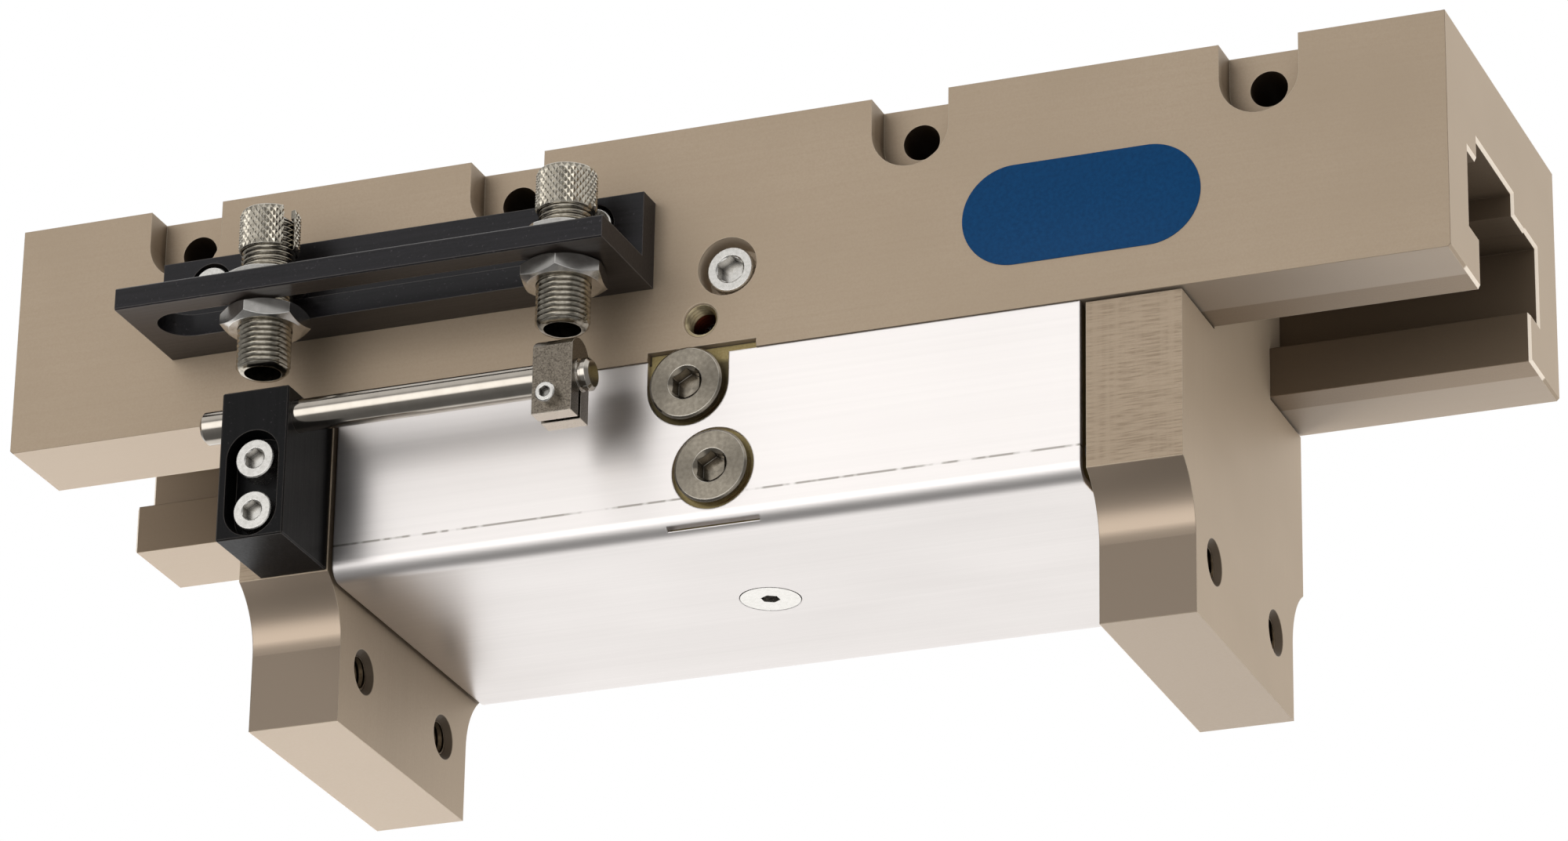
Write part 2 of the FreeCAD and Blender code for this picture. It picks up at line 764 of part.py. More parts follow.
def set_screws():
    # Headless screws sunk in the lips, pressing on the neck of the cylinder block
    out = V(0, -1, 0)
    tip = V(set_screw_x, -mouth_half + slide_clear, set_screw_z)
    body = rod(m5_core - slack * 2, set_screw_length, tip, out)
    body = body.cut(hexagon(m3[3], m3[2], tip + out * set_screw_length, out * -1))
    return Part.makeCompound(both(body))


def sensor_bracket():
    y0 = front_y - bracket_reach
    wall_y = front_y - bracket_wall
    ell = [(front_y, bracket_bottom_z), (front_y, bracket_top_z), (wall_y, bracket_top_z),
           (wall_y, bracket_leg_z), (y0, bracket_leg_z), (y0, bracket_bottom_z)]
    body = plate_x(ell, bracket_left_x, bracket_right_x)
    mid = V((bracket_left_x + bracket_right_x) / 2, sleeve_y, bracket_bottom_z)
    length = bracket_length - bracket_slot_inset * 2
    cuts = [obround(bracket_slot, length, bracket_leg, mid, V(0, 0, 1), V(1, 0, 0))]
    for x in bracket_screw_places:
        at = V(x, wall_y, bracket_screw_z)
        cuts.append(rod(m3[1] + drill_spare, m3[2], at, V(0, 1, 0)))
        cuts.append(rod(m3[0] + free_hole, bracket_wall, at, V(0, 1, 0)))
    body = body.cut(cuts)
    rims = []
    for edge in body.Edges:
        c = edge.CenterOfMass
        if abs(c.y - y0) < slack and abs(c.x - mid.x) < past:
            rims.append(edge)
    return body.makeChamfer(end_break / 2, rims)


def bracket_screws():
    found = []
    for x in bracket_screw_places:
        face = V(x, front_y - bracket_wall + m3[2], bracket_screw_z)
        found.append(cap_screw(m3, bracket_wall - m3[2] + thread_grip, face, V(0, 1, 0)))
    return Part.makeCompound(found)


def sensor_sleeve(x):
    # Hollow threaded sleeve that holds a round sensor
    up = V(0, 0, 1)
    at = V(x, sleeve_y, sleeve_bottom_z)
    length = sleeve_top_z - sleeve_bottom_z
    body = rod(sleeve_d, length, at, up)
    body = body.makeChamfer((sleeve_d - sleeve_bore) / 5, [e for e in body.Edges if e.Closed])
    return body.cut(rod(sleeve_bore, length, at, up))


def sleeve_nut(x, z, height, turn):
    # Hexagon nut with its corners turned back on both faces
    up = V(0, 0, 1)
    at = V(x, sleeve_y, z)
    nut = hexagon(nut_flats, height, at, up)
    nut.rotate(at, up, turn)
    corner = nut_flats * 2 / math.sqrt(3)
    rim = nut_flats - nut_sink
    rise = min((corner - rim) / 2 * math.tan(math.radians(nut_slope)), height * 0.4)
    over = V(0, 0, height - rise)
    turned = rod(corner, height - rise * 2, at + up * rise, up)
    turned = turned.fuse([cone(rim, corner, rise, at, up), cone(corner, rim, rise, at + over, up)])
    nut = nut.common(turned)
    return nut.cut(rod(sleeve_d + slack * 2, height, at, up))


def nut_pair(z, height, turns):
    return Part.makeCompound([sleeve_nut(sleeve_left_x, z, height, turns[0]),
                              sleeve_nut(sleeve_right_x, z, height, turns[1])])


def lower_nuts():
    return nut_pair(bracket_bottom_z - nut_low, nut_low, low_nut_turns)


def upper_nuts():
    return nut_pair(bracket_leg_z, nut_high, high_nut_turns)


def knurled_cap(x, above, turn):
    # Clamp cap over the top of the sleeve, slit down one side for the sensor cable
    up = V(0, 0, 1)
    at = V(x, sleeve_y, bracket_leg_z + above)
    body = rod(cap_d, cap_height, at, up)
    body = body.makeChamfer(cap_d / 25, [e for e in body.Edges if e.Closed])
    body = body.cut([rod(sleeve_d + slack * 2, sleeve_top_z - at.z + slide_clear, at, up),
                     rod(cap_hole, cap_height, at, up)])
    slit = box(at.x, at.x + cap_d, at.y - cap_slit / 2, at.y + cap_slit / 2, at.z, at.z + cap_height)
    slit.rotate(at, up, turn)
    return body.cut(slit)


def cam_holder():
    back_y = -jaw_half_depth
    body = box(holder_left_x, holder_right_x, holder_front_y, back_y, holder_bottom_z, holder_top_z)
    rims = [e for e in body.Edges if e.CenterOfMass.y < back_y - slack]
    body = body.makeChamfer(end_break / 2, rims)
    into = V(0, 1, 0)
    mid = V(holder_mid_x, holder_front_y, holder_screw_mid_z)
    length = holder_pocket + holder_screw_pitch
    cuts = [obround(holder_pocket, length, holder_pocket_depth, mid, into, V(0, 0, 1))]
    depth = back_y - holder_front_y
    for z in holder_screw_heights:
        cuts.append(rod(holder_screw[0] + free_hole, depth, V(holder_mid_x, holder_front_y, z), into))
    hole_d = cam_rod_d + slack * 2
    cuts.append(rod(hole_d, holder_width, V(holder_left_x, sleeve_y, cam_rod_z), V(1, 0, 0)))
    return body.cut(cuts)


def cam_holder_screws():
    found = []
    floor = holder_front_y + holder_pocket_depth
    for z in holder_screw_heights:
        face = V(holder_mid_x, floor, z)
        found.append(cap_screw(holder_screw, -jaw_half_depth - floor + thread_grip, face, V(0, 1, 0)))
    return Part.makeCompound(found)


def cam_rod():
    along = V(1, 0, 0)
    length = cam_rod_right_x - cam_rod_left_x
    bar = rod(cam_rod_d, length, V(cam_rod_left_x, sleeve_y, cam_rod_z), along)
    bar = bar.makeChamfer(cam_rod_d / 10, [e for e in bar.Edges if e.Closed])
    near = V(cam_rod_right_x - cam_groove * 3, sleeve_y, cam_rod_z)
    return bar.cut(ring(cam_rod_d + past, cam_rod_d - cam_groove, cam_groove, near, along))


def cam_clamp():
    # Round-topped clamp with a flat front, slit up to the rod
    back_y = clamp_front_y + clamp_deep
    x = clamp_left_x
    low_front = V(x, clamp_front_y, clamp_bottom_z)
    front = V(x, clamp_front_y, clamp_front_z)
    crown = V(x, sleeve_y, clamp_front_z + clamp_crown)
    back = V(x, back_y, clamp_front_z + clamp_crown - clamp_back_drop)
    low_back = V(x, back_y, clamp_bottom_z)
    outline = Part.Wire([Part.makeLine(low_front, front), Part.Arc(front, crown, back).toShape(),
                         Part.makeLine(back, low_back), Part.makeLine(low_back, low_front)])
    body = Part.Face(outline).extrude(V(clamp_width, 0, 0))
    half = clamp_slit / 2
    slit = box(x, x + clamp_width, sleeve_y - half, sleeve_y + half, clamp_bottom_z, cam_rod_z)
    at = V(x + clamp_screw_side, clamp_front_y, clamp_bottom_z + clamp_screw_rise)
    return body.cut([rod(cam_rod_d + slack * 2, clamp_width, V(x, sleeve_y, cam_rod_z), V(1, 0, 0)),
                     slit, rod(m16[0] + slack * 2, clamp_deep - drill_spare, at, V(0, 1, 0))])


def cam_clamp_screw():
    face = V(clamp_left_x + clamp_screw_side, clamp_front_y, clamp_bottom_z + clamp_screw_rise)
    return cap_screw(m16, clamp_deep - drill_spare * 1.2, face, V(0, 1, 0))


pieces = {
    "housing": housing(),
    "right_base_jaw": right_base_jaw(),
    "left_base_jaw": left_base_jaw(),
    "right_rack": on_right(rack_bar()),
    "left_rack": on_left(rack_bar()),
    "right_rack_screws": on_right(rack_screws()),
    "left_rack_screws": on_left(rack_screws()),
    "pinion": pinion(),
    "pinion_axle": pinion_axle(),
    "pinion_washer": pinion_washer(),
    "cylinder_block": cylinder_block(),
    "duct_plugs": duct_plugs(),
    "right_gland": gland(),
    "left_gland": half_turn(gland()),
    "rod_seals": Part.makeCompound(both(rod_seal())),
    "retaining_rings": Part.makeCompound(both(retaining_ring())),
    "right_piston": piston(),
    "left_piston": half_turn(piston()),
    "right_piston_seal": piston_seal(),
    "left_piston_seal": half_turn(piston_seal()),
    "right_piston_nut": piston_nut(),
    "left_piston_nut": half_turn(piston_nut()),
    "right_piston_rod": piston_rod(),
    "left_piston_rod": half_turn(piston_rod()),
    "upper_port_plug": port_plug(port_upper),
    "lower_port_plug": port_plug(port_lower),
    "plug_seals": plug_seals(),
    "cover_sheet": cover_sheet(),
    "cover_screw": cover_screw(),
    "block_screws": block_screws(),
    "set_screws": set_screws(),
    "sensor_bracket": sensor_bracket(),
    "bracket_screws": bracket_screws(),
    "left_sensor_sleeve": sensor_sleeve(sleeve_left_x),
    "right_sensor_sleeve": sensor_sleeve(sleeve_right_x),
    "lower_nuts": lower_nuts(),
    "upper_nuts": upper_nuts(),
    "left_knurled_cap": knurled_cap(sleeve_left_x, cap_left_above, cap_left_turn),
    "right_knurled_cap": knurled_cap(sleeve_right_x, cap_right_above, cap_right_turn),
    "cam_holder": cam_holder(),
    "cam_holder_screws": cam_holder_screws(),
    "cam_rod": cam_rod(),
    "cam_clamp": cam_clamp(),
    "cam_clamp_screw": cam_clamp_screw(),
}

for name, shape in pieces.items():
    shape.exportStep("parts/" + name + ".step")
    print(name, len(shape.Solids), shape.isValid(), round(shape.Volume, 1))
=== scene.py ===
import math

import bmesh
import bpy
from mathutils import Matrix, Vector


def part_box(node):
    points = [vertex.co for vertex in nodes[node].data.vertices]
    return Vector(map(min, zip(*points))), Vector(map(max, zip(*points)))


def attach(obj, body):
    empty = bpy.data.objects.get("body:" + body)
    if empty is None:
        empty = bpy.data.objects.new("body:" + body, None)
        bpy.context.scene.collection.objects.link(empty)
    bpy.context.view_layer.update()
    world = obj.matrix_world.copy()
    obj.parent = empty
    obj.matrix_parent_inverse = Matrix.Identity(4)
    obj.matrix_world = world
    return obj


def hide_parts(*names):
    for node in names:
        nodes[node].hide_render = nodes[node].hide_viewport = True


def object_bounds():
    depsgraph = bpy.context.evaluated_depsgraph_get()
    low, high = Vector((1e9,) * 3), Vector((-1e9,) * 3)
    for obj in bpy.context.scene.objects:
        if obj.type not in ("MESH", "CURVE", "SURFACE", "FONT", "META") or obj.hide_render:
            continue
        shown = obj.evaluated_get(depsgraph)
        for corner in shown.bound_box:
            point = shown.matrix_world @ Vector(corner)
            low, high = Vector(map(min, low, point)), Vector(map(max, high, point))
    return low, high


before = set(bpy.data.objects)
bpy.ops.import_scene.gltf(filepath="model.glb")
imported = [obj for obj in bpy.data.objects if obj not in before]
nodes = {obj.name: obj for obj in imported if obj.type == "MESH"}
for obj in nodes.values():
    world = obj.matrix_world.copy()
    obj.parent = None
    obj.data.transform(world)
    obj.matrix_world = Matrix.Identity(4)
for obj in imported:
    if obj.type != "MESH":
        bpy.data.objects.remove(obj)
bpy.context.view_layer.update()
mm = 0.001
hair = 1e-7   # points nearer than this are one point
speck = 1e-6  # places nearer than this are the same place
print("frame loaded,", len(nodes), "nodes")


# Small helpers for modelling by hand

def startClean():
    bpy.ops.object.select_all(action="DESELECT")


def takeUp(obj):
    startClean()
    obj.select_set(True)
    bpy.context.view_layer.objects.active = obj


def openMesh(obj, mode):
    takeUp(obj)
    bpy.ops.object.mode_set(mode="EDIT")
    bpy.ops.mesh.select_mode(type=mode)
    bpy.ops.mesh.select_all(action="DESELECT")


def closeMesh():
    bpy.ops.object.mode_set(mode="OBJECT")


def pick(obj, kind, test):
    # selects the verts, edges or faces that pass the test, in edit mode
    mesh = bmesh.from_edit_mesh(obj.data)
    for item in getattr(mesh, kind):
        item.select_set(bool(test(item)))
    mesh.select_flush_mode()
    bmesh.update_edit_mesh(obj.data)


def rise(edge):
    return abs(edge.verts[0].co.z - edge.verts[1].co.z)


def applyModifier(obj, kind, **settings):
    takeUp(obj)
    modifier = obj.modifiers.new(kind, kind)
    for key, value in settings.items():
        setattr(modifier, key, value)
    bpy.ops.object.modifier_apply(modifier=modifier.name)


def settle(obj, place, turn=(0, 0, 0)):
    # turns and moves the finished mesh, so that the object stays at the origin
    takeUp(obj)
    obj.rotation_euler = turn
    obj.location = place
    bpy.ops.object.transform_apply(location=True, rotation=True, scale=True)


def tidyMesh(obj, merge=hair):
    openMesh(obj, "VERT")
    bpy.ops.mesh.select_all(action="SELECT")
    bpy.ops.mesh.remove_doubles(threshold=merge)
    bpy.ops.mesh.normals_make_consistent(inside=False)
    closeMesh()


def smooth(obj, degrees):
    takeUp(obj)
    bpy.ops.object.shade_smooth_by_angle(angle=math.radians(degrees))


def carve(obj, cutter, operation):
    applyModifier(obj, "BOOLEAN", object=cutter, operation=operation, solver="EXACT")
    bpy.data.objects.remove(cutter)
    tidyMesh(obj)


def copyOf(obj, name):
    twin = obj.copy()
    twin.data = obj.data.copy()
    twin.name = name
    bpy.context.scene.collection.objects.link(twin)
    return twin


def coat(piece, material):
    piece.data.materials.clear()
    piece.data.materials.append(material)


# Turned blanks and threads, all made round the Z axis first

turnSpec = {"sides": 64, "threadSteps": 48, "land": 0.12, "spareTurns": 2, "endFacing": 0.99}


def turnedTube(name, radius, bore, length, chamfer):
    middle = (0, 0, length / 2)
    bpy.ops.mesh.primitive_cylinder_add(vertices=turnSpec["sides"], radius=radius, depth=length,
                                        location=middle)
    tube = bpy.context.object
    tube.name = name
    settle(tube, middle)
    openMesh(tube, "EDGE")
    pick(tube, "edges", lambda e: rise(e) < hair)
    bpy.ops.mesh.bevel(offset=chamfer, segments=1, affect="EDGES")
    if bore > 0:
        bpy.ops.mesh.select_mode(type="FACE")
        pick(tube, "faces", lambda f: abs(f.normal.z) > turnSpec["endFacing"])
        bpy.ops.mesh.inset(thickness=radius - chamfer - bore)
        bpy.ops.mesh.delete(type="ONLY_FACE")
        bpy.ops.mesh.select_mode(type="EDGE")
        pick(tube, "edges", lambda e: e.is_boundary)
        bpy.ops.mesh.bridge_edge_loops()
    closeMesh()
    tidyMesh(tube)
    return tube


def threadBar(name, crest, root, pitch, low, high):
    # one V of the thread is swept up a helix, then cut flat at both ends
    land = pitch * turnSpec["land"]
    spare = turnSpec["spareTurns"]
    outline = [(root, 0), (crest, (pitch - land) / 2), (crest, (pitch + land) / 2), (root, pitch)]
    mesh = bpy.data.meshes.new(name)
    mesh.from_pydata([(r, 0, low - spare * pitch + z) for r, z in outline], [(0, 1), (1, 2), (2, 3)], [])
    bar = bpy.data.objects.new(name, mesh)
    bpy.context.scene.collection.objects.link(bar)
    steps = turnSpec["threadSteps"]
    applyModifier(bar, "SCREW", axis="Z", angle=2 * math.pi, screw_offset=pitch, use_merge_vertices=False,
                  iterations=math.ceil((high - low) / pitch) + 2 * spare, steps=steps, render_steps=steps)
    tidyMesh(bar)
    for height, side in ((low, -1), (high, 1)):
        openMesh(bar, "EDGE")
        bpy.ops.mesh.select_all(action="SELECT")
        bpy.ops.mesh.bisect(plane_co=(0, 0, height), plane_no=(0, 0, side), use_fill=True, clear_outer=True,
                            threshold=hair)
        closeMesh()
    tidyMesh(bar)
    return bar


# Colour and nodes

def linear(hexCode):
    parts = [int(hexCode[i:i + 2], 16) / 255 for i in (1, 3, 5)]
    return tuple(p / 12.92 if p <= 0.04045 else ((p + 0.055) / 1.055) ** 2.4 for p in parts) + (1.0,)


def addNode(tree, kind, inputs=(), out=0, **settings):
    # inputs are values or sockets, in order or by name, and one output comes back
    node = tree.nodes.new("ShaderNode" + kind)
    for key, value in settings.items():
        setattr(node, key, value)
    pairs = inputs.items() if isinstance(inputs, dict) else enumerate(inputs)
    for key, value in pairs:
        if isinstance(value, bpy.types.NodeSocket):
            tree.links.new(value, node.inputs[key])
        else:
            node.inputs[key].default_value = value
    return node.outputs[out] if len(node.outputs) else node


def startFinish(name, metallic, roughness):
    material = bpy.data.materials.new(name)
    material.use_nodes = True
    tree = material.node_tree
    tree.nodes.clear()
    place = addNode(tree, "TexCoord", out="Object")
    shader = addNode(tree, "BsdfPrincipled", {"Metallic": metallic, "Roughness": roughness}).node
    addNode(tree, "OutputMaterial", {"Surface": shader.outputs[0]})
    return material, tree, place, shader


def endFinish(tree, shader, spec, layers, height, depth, normal, rough=None):
    # paints each layer over the dark colour through its mask, then links colour, gloss and relief
    tone = linear(spec["dark"])
    for mask, layer in layers:
        tone = addNode(tree, "Mix", {0: mask, 6: tone, 7: linear(spec[layer])}, 2, data_type="RGBA")
    bump = addNode(tree, "Bump", {"Strength": 1.0, "Distance": depth, "Height": height, "Normal": normal})
    tree.links.new(tone, shader.inputs["Base Color"])
    tree.links.new(bump, shader.inputs["Normal"])
    if rough is not None:
        tree.links.new(rough, shader.inputs["Roughness"])


def streaks(tree, place, lengths, detail):
    # noise drawn out to the given length, width and height in mm
    scale = tuple(1 / (size * mm) for size in lengths)
    spread = addNode(tree, "VectorMath", (place, scale), operation="MULTIPLY")
    return addNode(tree, "TexNoise", {"Vector": spread, "Scale": 1.0, "Detail": detail})


def softEdge(tree, radius):
    # the edge break of a real part: a rounded normal, and a mask that is 1 on the edge; the rim this mask
    # lays is lighter, partly wear and partly a painted highlight
    rounded = addNode(tree, "Bevel", {"Radius": radius}, samples=6)
    flat = addNode(tree, "NewGeometry", out="Normal")
    facing = addNode(tree, "VectorMath", (rounded, flat), "Value", operation="DOT_PRODUCT")
    return rounded, addNode(tree, "MapRange", (facing, 0.995, 0.86, 0.0, 1.0))


def hollow(tree, reach, low, high):
    # mask for painted shade: 1 in grooves and deep slots of the piece itself, 0 on open faces
    clear = addNode(tree, "AmbientOcclusion", {"Distance": reach}, "AO", samples=8, only_local=True)
    return addNode(tree, "MapRange", (clear, low, high, 1.0, 0.0))


def aroundAxis(tree, across, height, spec, most):
    # mask inside a round border about a bore, the same on both sides of the part
    spread = addNode(tree, "Math", (across,), operation="ABSOLUTE")
    spread = addNode(tree, "CombineXYZ", (spread, height))
    far = addNode(tree, "VectorMath", (spread, spec["centre"]), "Value", operation="DISTANCE")
    return addNode(tree, "MapRange", (far, *spec["border"], 0.0, most))


# How far a face looks along an axis, as a cosine: the two ends of each soft change
facingSpec = {"square": (0.90, 0.95), "level": (0.94, 0.98), "plumb": (0.985, 0.998), "end": (0.4, 0.6),
              "slotEnd": (0.3, 0.5), "under": (-0.90, -0.97)}


def undersideMask(tree):
    down = addNode(tree, "SeparateXYZ", (addNode(tree, "NewGeometry", out="Normal"),), 2)
    return addNode(tree, "MapRange", (down, *facingSpec["under"], 0.0, 1.0))


# Finishes, each named for the real material. A border gives the two ends of a soft change

def jawMilling(tree, place, spot, facing, spec):
    # a fly-cut face above the cove with crossing marks, a brighter form-milled cove and foot below
    upper = addNode(tree, "MapRange", (spot[2], *spec["coveBorder"], 0.0, 1.0))
    lower = addNode(tree, "Math", (1.0, upper), operation="SUBTRACT")
    squareOn = addNode(tree, "MapRange", (facing[1], *facingSpec["square"], 0.0, 1.0))
    upright = streaks(tree, place, spec["uprights"], 1.0)
    upright = addNode(tree, "MapRange", (upright, 0.35, 0.60, 0.35, 1.0))
    weave = streaks(tree, place, spec["dashes"], 2.0)
    weave = addNode(tree, "MapRange", (weave, 0.42, 0.66, 0.0, 1.0))
    for mask in (upright, upper, squareOn):
        weave = addNode(tree, "Math", (weave, mask), operation="MULTIPLY")
    milled = addNode(tree, "MapRange", (facing[0], *facingSpec["end"], 1.0, 0.0))
    sloping = addNode(tree, "MapRange", (facing[2], *facingSpec["level"], 1.0, 0.0))
    for mask in (sloping, lower):
        milled = addNode(tree, "Math", (milled, mask), operation="MULTIPLY")
    plumb = addNode(tree, "MapRange", (facing[1], *facingSpec["plumb"], 0.0, 1.0))
    foot = addNode(tree, "Math", (milled, plumb), operation="MULTIPLY")
    return milled, [(weave, "weave"), (milled, "cove"), (foot, "foot")]


def slotPaintedShade(tree, spot, facing, away, wearAndHighlight, spec):
    # a thin dark line painted along the front corner at the underside and at the right end: a painted dark
    # reflection in the edge break
    cornerShadeLine = addNode(tree, "MapRange", (spot[1], *spec["frontBorder"], 0.0, 0.8))
    under = addNode(tree, "MapRange", (spot[2], *spec["underBorder"], 0.0, 1.0))
    end = addNode(tree, "MapRange", (spot[0], *spec["endBorder"], 0.0, 1.0))
    corner = addNode(tree, "Math", (under, end), operation="MAXIMUM")
    for mask in (corner, wearAndHighlight):
        cornerShadeLine = addNode(tree, "Math", (cornerShadeLine, mask), operation="MULTIPLY")
    # painted shade on the walls of the slot the jaws run in, lower down and towards the jaws
    slotWallShade = addNode(tree, "MapRange", (away, *spec["slotBorder"], 0.85, 0.0))
    low = addNode(tree, "MapRange", (spot[2], *spec["shelfBorder"], 0.0, 1.0))
    inside = addNode(tree, "MapRange", (spot[2], *spec["mouthBorder"], 0.0, 1.0))
    right = addNode(tree, "MapRange", (spot[0], *spec["jawBorder"], 0.0, 1.0))
    shaded = addNode(tree, "Math", (inside, right), operation="MAXIMUM")
    flat = addNode(tree, "MapRange", (facing[0], *facingSpec["slotEnd"], 1.0, 0.0))
    for mask in (low, shaded, flat):
        slotWallShade = addNode(tree, "Math", (slotWallShade, mask), operation="MULTIPLY")
    # more painted shade deep in the slot
    deepSlotShade = addNode(tree, "MapRange", (spot[2], *spec["mouthBorder"], 0.0, 0.45))
    deepSlotShade = addNode(tree, "Math", (slotWallShade, deepSlotShade), operation="MULTIPLY")
    return [(cornerShadeLine, "cornerShadeLine"), (slotWallShade, "lip"), (deepSlotShade, "slot")]


def boreLightAndChamferHighlight(tree, spot, facing, away, spec):
    # painted light: the walls of the screw counterbores are painted in the light edge colour
    litBoreWall = aroundAxis(tree, spot[0], spot[2], spec["bores"], 1.0)
    sunk = addNode(tree, "Math", (away, *spec["boreDepth"]), operation="COMPARE")
    litBoreWall = addNode(tree, "Math", (litBoreWall, sunk), operation="MULTIPLY")
    # a painted highlight on the slanted chamfer faces at the slot ends
    chamferHighlightMask = addNode(tree, "Math", (facing[0], *spec["breakFacing"]), operation="COMPARE")
    inner = addNode(tree, "MapRange", (away, *spec["breakBorder"], 1.0, 0.0))
    out = addNode(tree, "Math", (spot[0],), operation="ABSOLUTE")
    ends = addNode(tree, "MapRange", (out, *spec["tipBorder"], 0.0, 1.0))
    for mask in (inner, ends):
        chamferHighlightMask = addNode(tree, "Math", (chamferHighlightMask, mask), operation="MULTIPLY")
    return [(litBoreWall, "edge"), (chamferHighlightMask, "slotEndHighlight")]


def hardAnodised(name, spec):
    # hard-anodised aluminium, milled: satin, warm grey-brown, faint mill lines, fine grain, painted shade in
    # the slots
    material, tree, place, shader = startFinish(name, 0.55, 0.55)
    rounded, wearAndHighlight = softEdge(tree, 0.20 * mm)
    spot = addNode(tree, "SeparateXYZ", (place,)).node.outputs
    facing = addNode(tree, "VectorMath", (addNode(tree, "NewGeometry", out="Normal"),), operation="ABSOLUTE")
    facing = addNode(tree, "SeparateXYZ", (facing,)).node.outputs
    away = addNode(tree, "Math", (spot[1],), operation="ABSOLUTE")
    lines = streaks(tree, place, spec["lines"], 3.0)
    grain = streaks(tree, place, (0.30, 0.30, 0.30), 2.0)  # real grit is finer and would not show
    cloud = streaks(tree, place, (22, 22, 16), 2.0)
    marks = addNode(tree, "Math", (grain, 0.8), operation="MULTIPLY")
    marks = addNode(tree, "Math", (lines, 0.45, marks), operation="MULTIPLY_ADD")
    rough = addNode(tree, "MapRange", (marks, 0.4, 0.85, 0.50, 0.60))
    layers = [(addNode(tree, "MapRange", (marks, 0.4, 0.85, 0.0, 1.0)), "light"),
              (addNode(tree, "MapRange", (cloud, 0.30, 0.75, 0.0, 0.5)), "deep")]
    if "weave" in spec:
        milled, cuts = jawMilling(tree, place, spot, facing, spec)
        layers += cuts
        rough = addNode(tree, "Mix", {0: milled, 2: rough, 3: 0.33}, data_type="FLOAT")
        shine = addNode(tree, "MapRange", (milled, 0.0, 1.0, 0.55, 0.82))
        tree.links.new(shine, shader.inputs["Metallic"])
    if "level" in spec:
        # faces that look straight up or down are a little greyer
        greyer = addNode(tree, "MapRange", (facing[2], *facingSpec["level"], 0.0, 0.7))
        layers.append((greyer, "level"))
    # lighter edge rim: partly wear, partly a painted highlight
    layers.append((addNode(tree, "MapRange", (wearAndHighlight, 0.0, 1.0, 0.0, 0.75)), "edge"))
    if "holes" in spec:
        # painted shade in the mouths of the finger threads
        layers.append((aroundAxis(tree, spot[1], spot[2], spec["holes"], 0.85), "slot"))
    if "lip" in spec:
        layers += slotPaintedShade(tree, spot, facing, away, wearAndHighlight, spec)
    # painted shade in the slots and deep recesses of the part
    oily = hollow(tree, 18 * mm, 0.12, 0.60)
    lessShadeAtFront = addNode(tree, "MapRange", (away, 24 * mm, 25 * mm, 1.0, 0.2))  # less painted shade in the mouths of the front holes
    layers.append((addNode(tree, "Math", (oily, lessShadeAtFront), operation="MULTIPLY"), "slot"))
    if "gap" in spec:
        # painted shade in the narrow gap round the upper plug, below the open notch
        gap = aroundAxis(tree, spot[0], spot[2], spec["gap"], 0.7)
        below = addNode(tree, "MapRange", (spot[2], *spec["notchBorder"], 0.0, 1.0))
        layers.append((addNode(tree, "Math", (gap, below), operation="MULTIPLY"), "dirt"))
    if "bores" in spec:
        layers += boreLightAndChamferHighlight(tree, spot, facing, away, spec)
    endFinish(tree, shader, spec, layers, marks, 0.003 * mm, rounded, rough)
    return material


def rolledStainless(name, spec):
    # bright rolled stainless sheet: soft mirror, drawn out along the roll, a scuffed line low on the front
    material, tree, place, shader = startFinish(name, 1.0, 0.38)
    shader.inputs["Anisotropic"].default_value = 0.70
    shader.inputs["Anisotropic Rotation"].default_value = 0.25
    along = addNode(tree, "CombineXYZ", (1.0,))  # the sheet was rolled along X
    tree.links.new(along, shader.inputs["Tangent"])
    rounded = addNode(tree, "Bevel", {"Radius": 0.25 * mm}, samples=6)
    rolled = streaks(tree, place, (80, 0.6, 0.6), 3.0)
    smear = streaks(tree, place, (30, 14, 14), 1.0)
    spot = addNode(tree, "SeparateXYZ", (place,)).node.outputs
    off = addNode(tree, "Math", (spot[2], spec["scuffZ"]), operation="SUBTRACT")
    off = addNode(tree, "Math", (off,), operation="ABSOLUTE")
    scuff = addNode(tree, "MapRange", (off, *spec["scuffBorder"], 1.0, 0.0))
    front = addNode(tree, "MapRange", (spot[1], *spec["frontBorder"], 0.0, 1.0))
    dash = addNode(tree, "MapRange", (streaks(tree, place, (2.2, 9, 9), 1.0), 0.36, 0.50, 0.1, 0.8))
    for mask in (front, dash):
        scuff = addNode(tree, "Math", (scuff, mask), operation="MULTIPLY")
    layers = [(addNode(tree, "MapRange", (rolled, 0.3, 0.7, 0.0, 1.0)), "light"), (scuff, "scuff")]
    rough = addNode(tree, "MapRange", (smear, 0.3, 0.7, 0.36, 0.40))
    endFinish(tree, shader, spec, layers, rolled, 0.0002 * mm, rounded, rough)
    return material


def blackAnodised(name, spec):
    # black anodised aluminium, milled: deep satin black, faint lines, specks of dust, edges lighter grey from
    # wear and a painted highlight, and where given a painted lighter underside
    material, tree, place, shader = startFinish(name, 0.0, 0.34)
    shader.inputs["Specular IOR Level"].default_value = spec["gloss"]
    rounded, wearAndHighlight = softEdge(tree, 0.22 * mm)
    lines = streaks(tree, place, spec["lines"], 3.0)
    grain = streaks(tree, place, (0.35, 0.35, 0.35), 2.0)
    marks = addNode(tree, "Math", (grain, 0.5, lines), operation="MULTIPLY_ADD")
    dust = streaks(tree, place, (0.45, 0.45, 0.45), 2.0)
    layers = [(addNode(tree, "MapRange", (marks, 0.5, 1.1, 0.0, 1.0)), "light"),
              (addNode(tree, "MapRange", (dust, 0.66, 0.76, 0.0, 0.6)), "dust")]
    if "under" in spec:
        layers.append((undersideMask(tree), "under"))  # painted light: the underside is painted lighter, as if lit from below
    # lighter edge rim: partly wear, partly a painted highlight
    layers.append((addNode(tree, "MapRange", (wearAndHighlight, 0.0, 1.0, 0.0, 0.8)), "edge"))
    rough = addNode(tree, "MapRange", (marks, 0.4, 1.2, 0.26, 0.44))
    endFinish(tree, shader, spec, layers, marks, 0.008 * mm, rounded, rough)
    return material


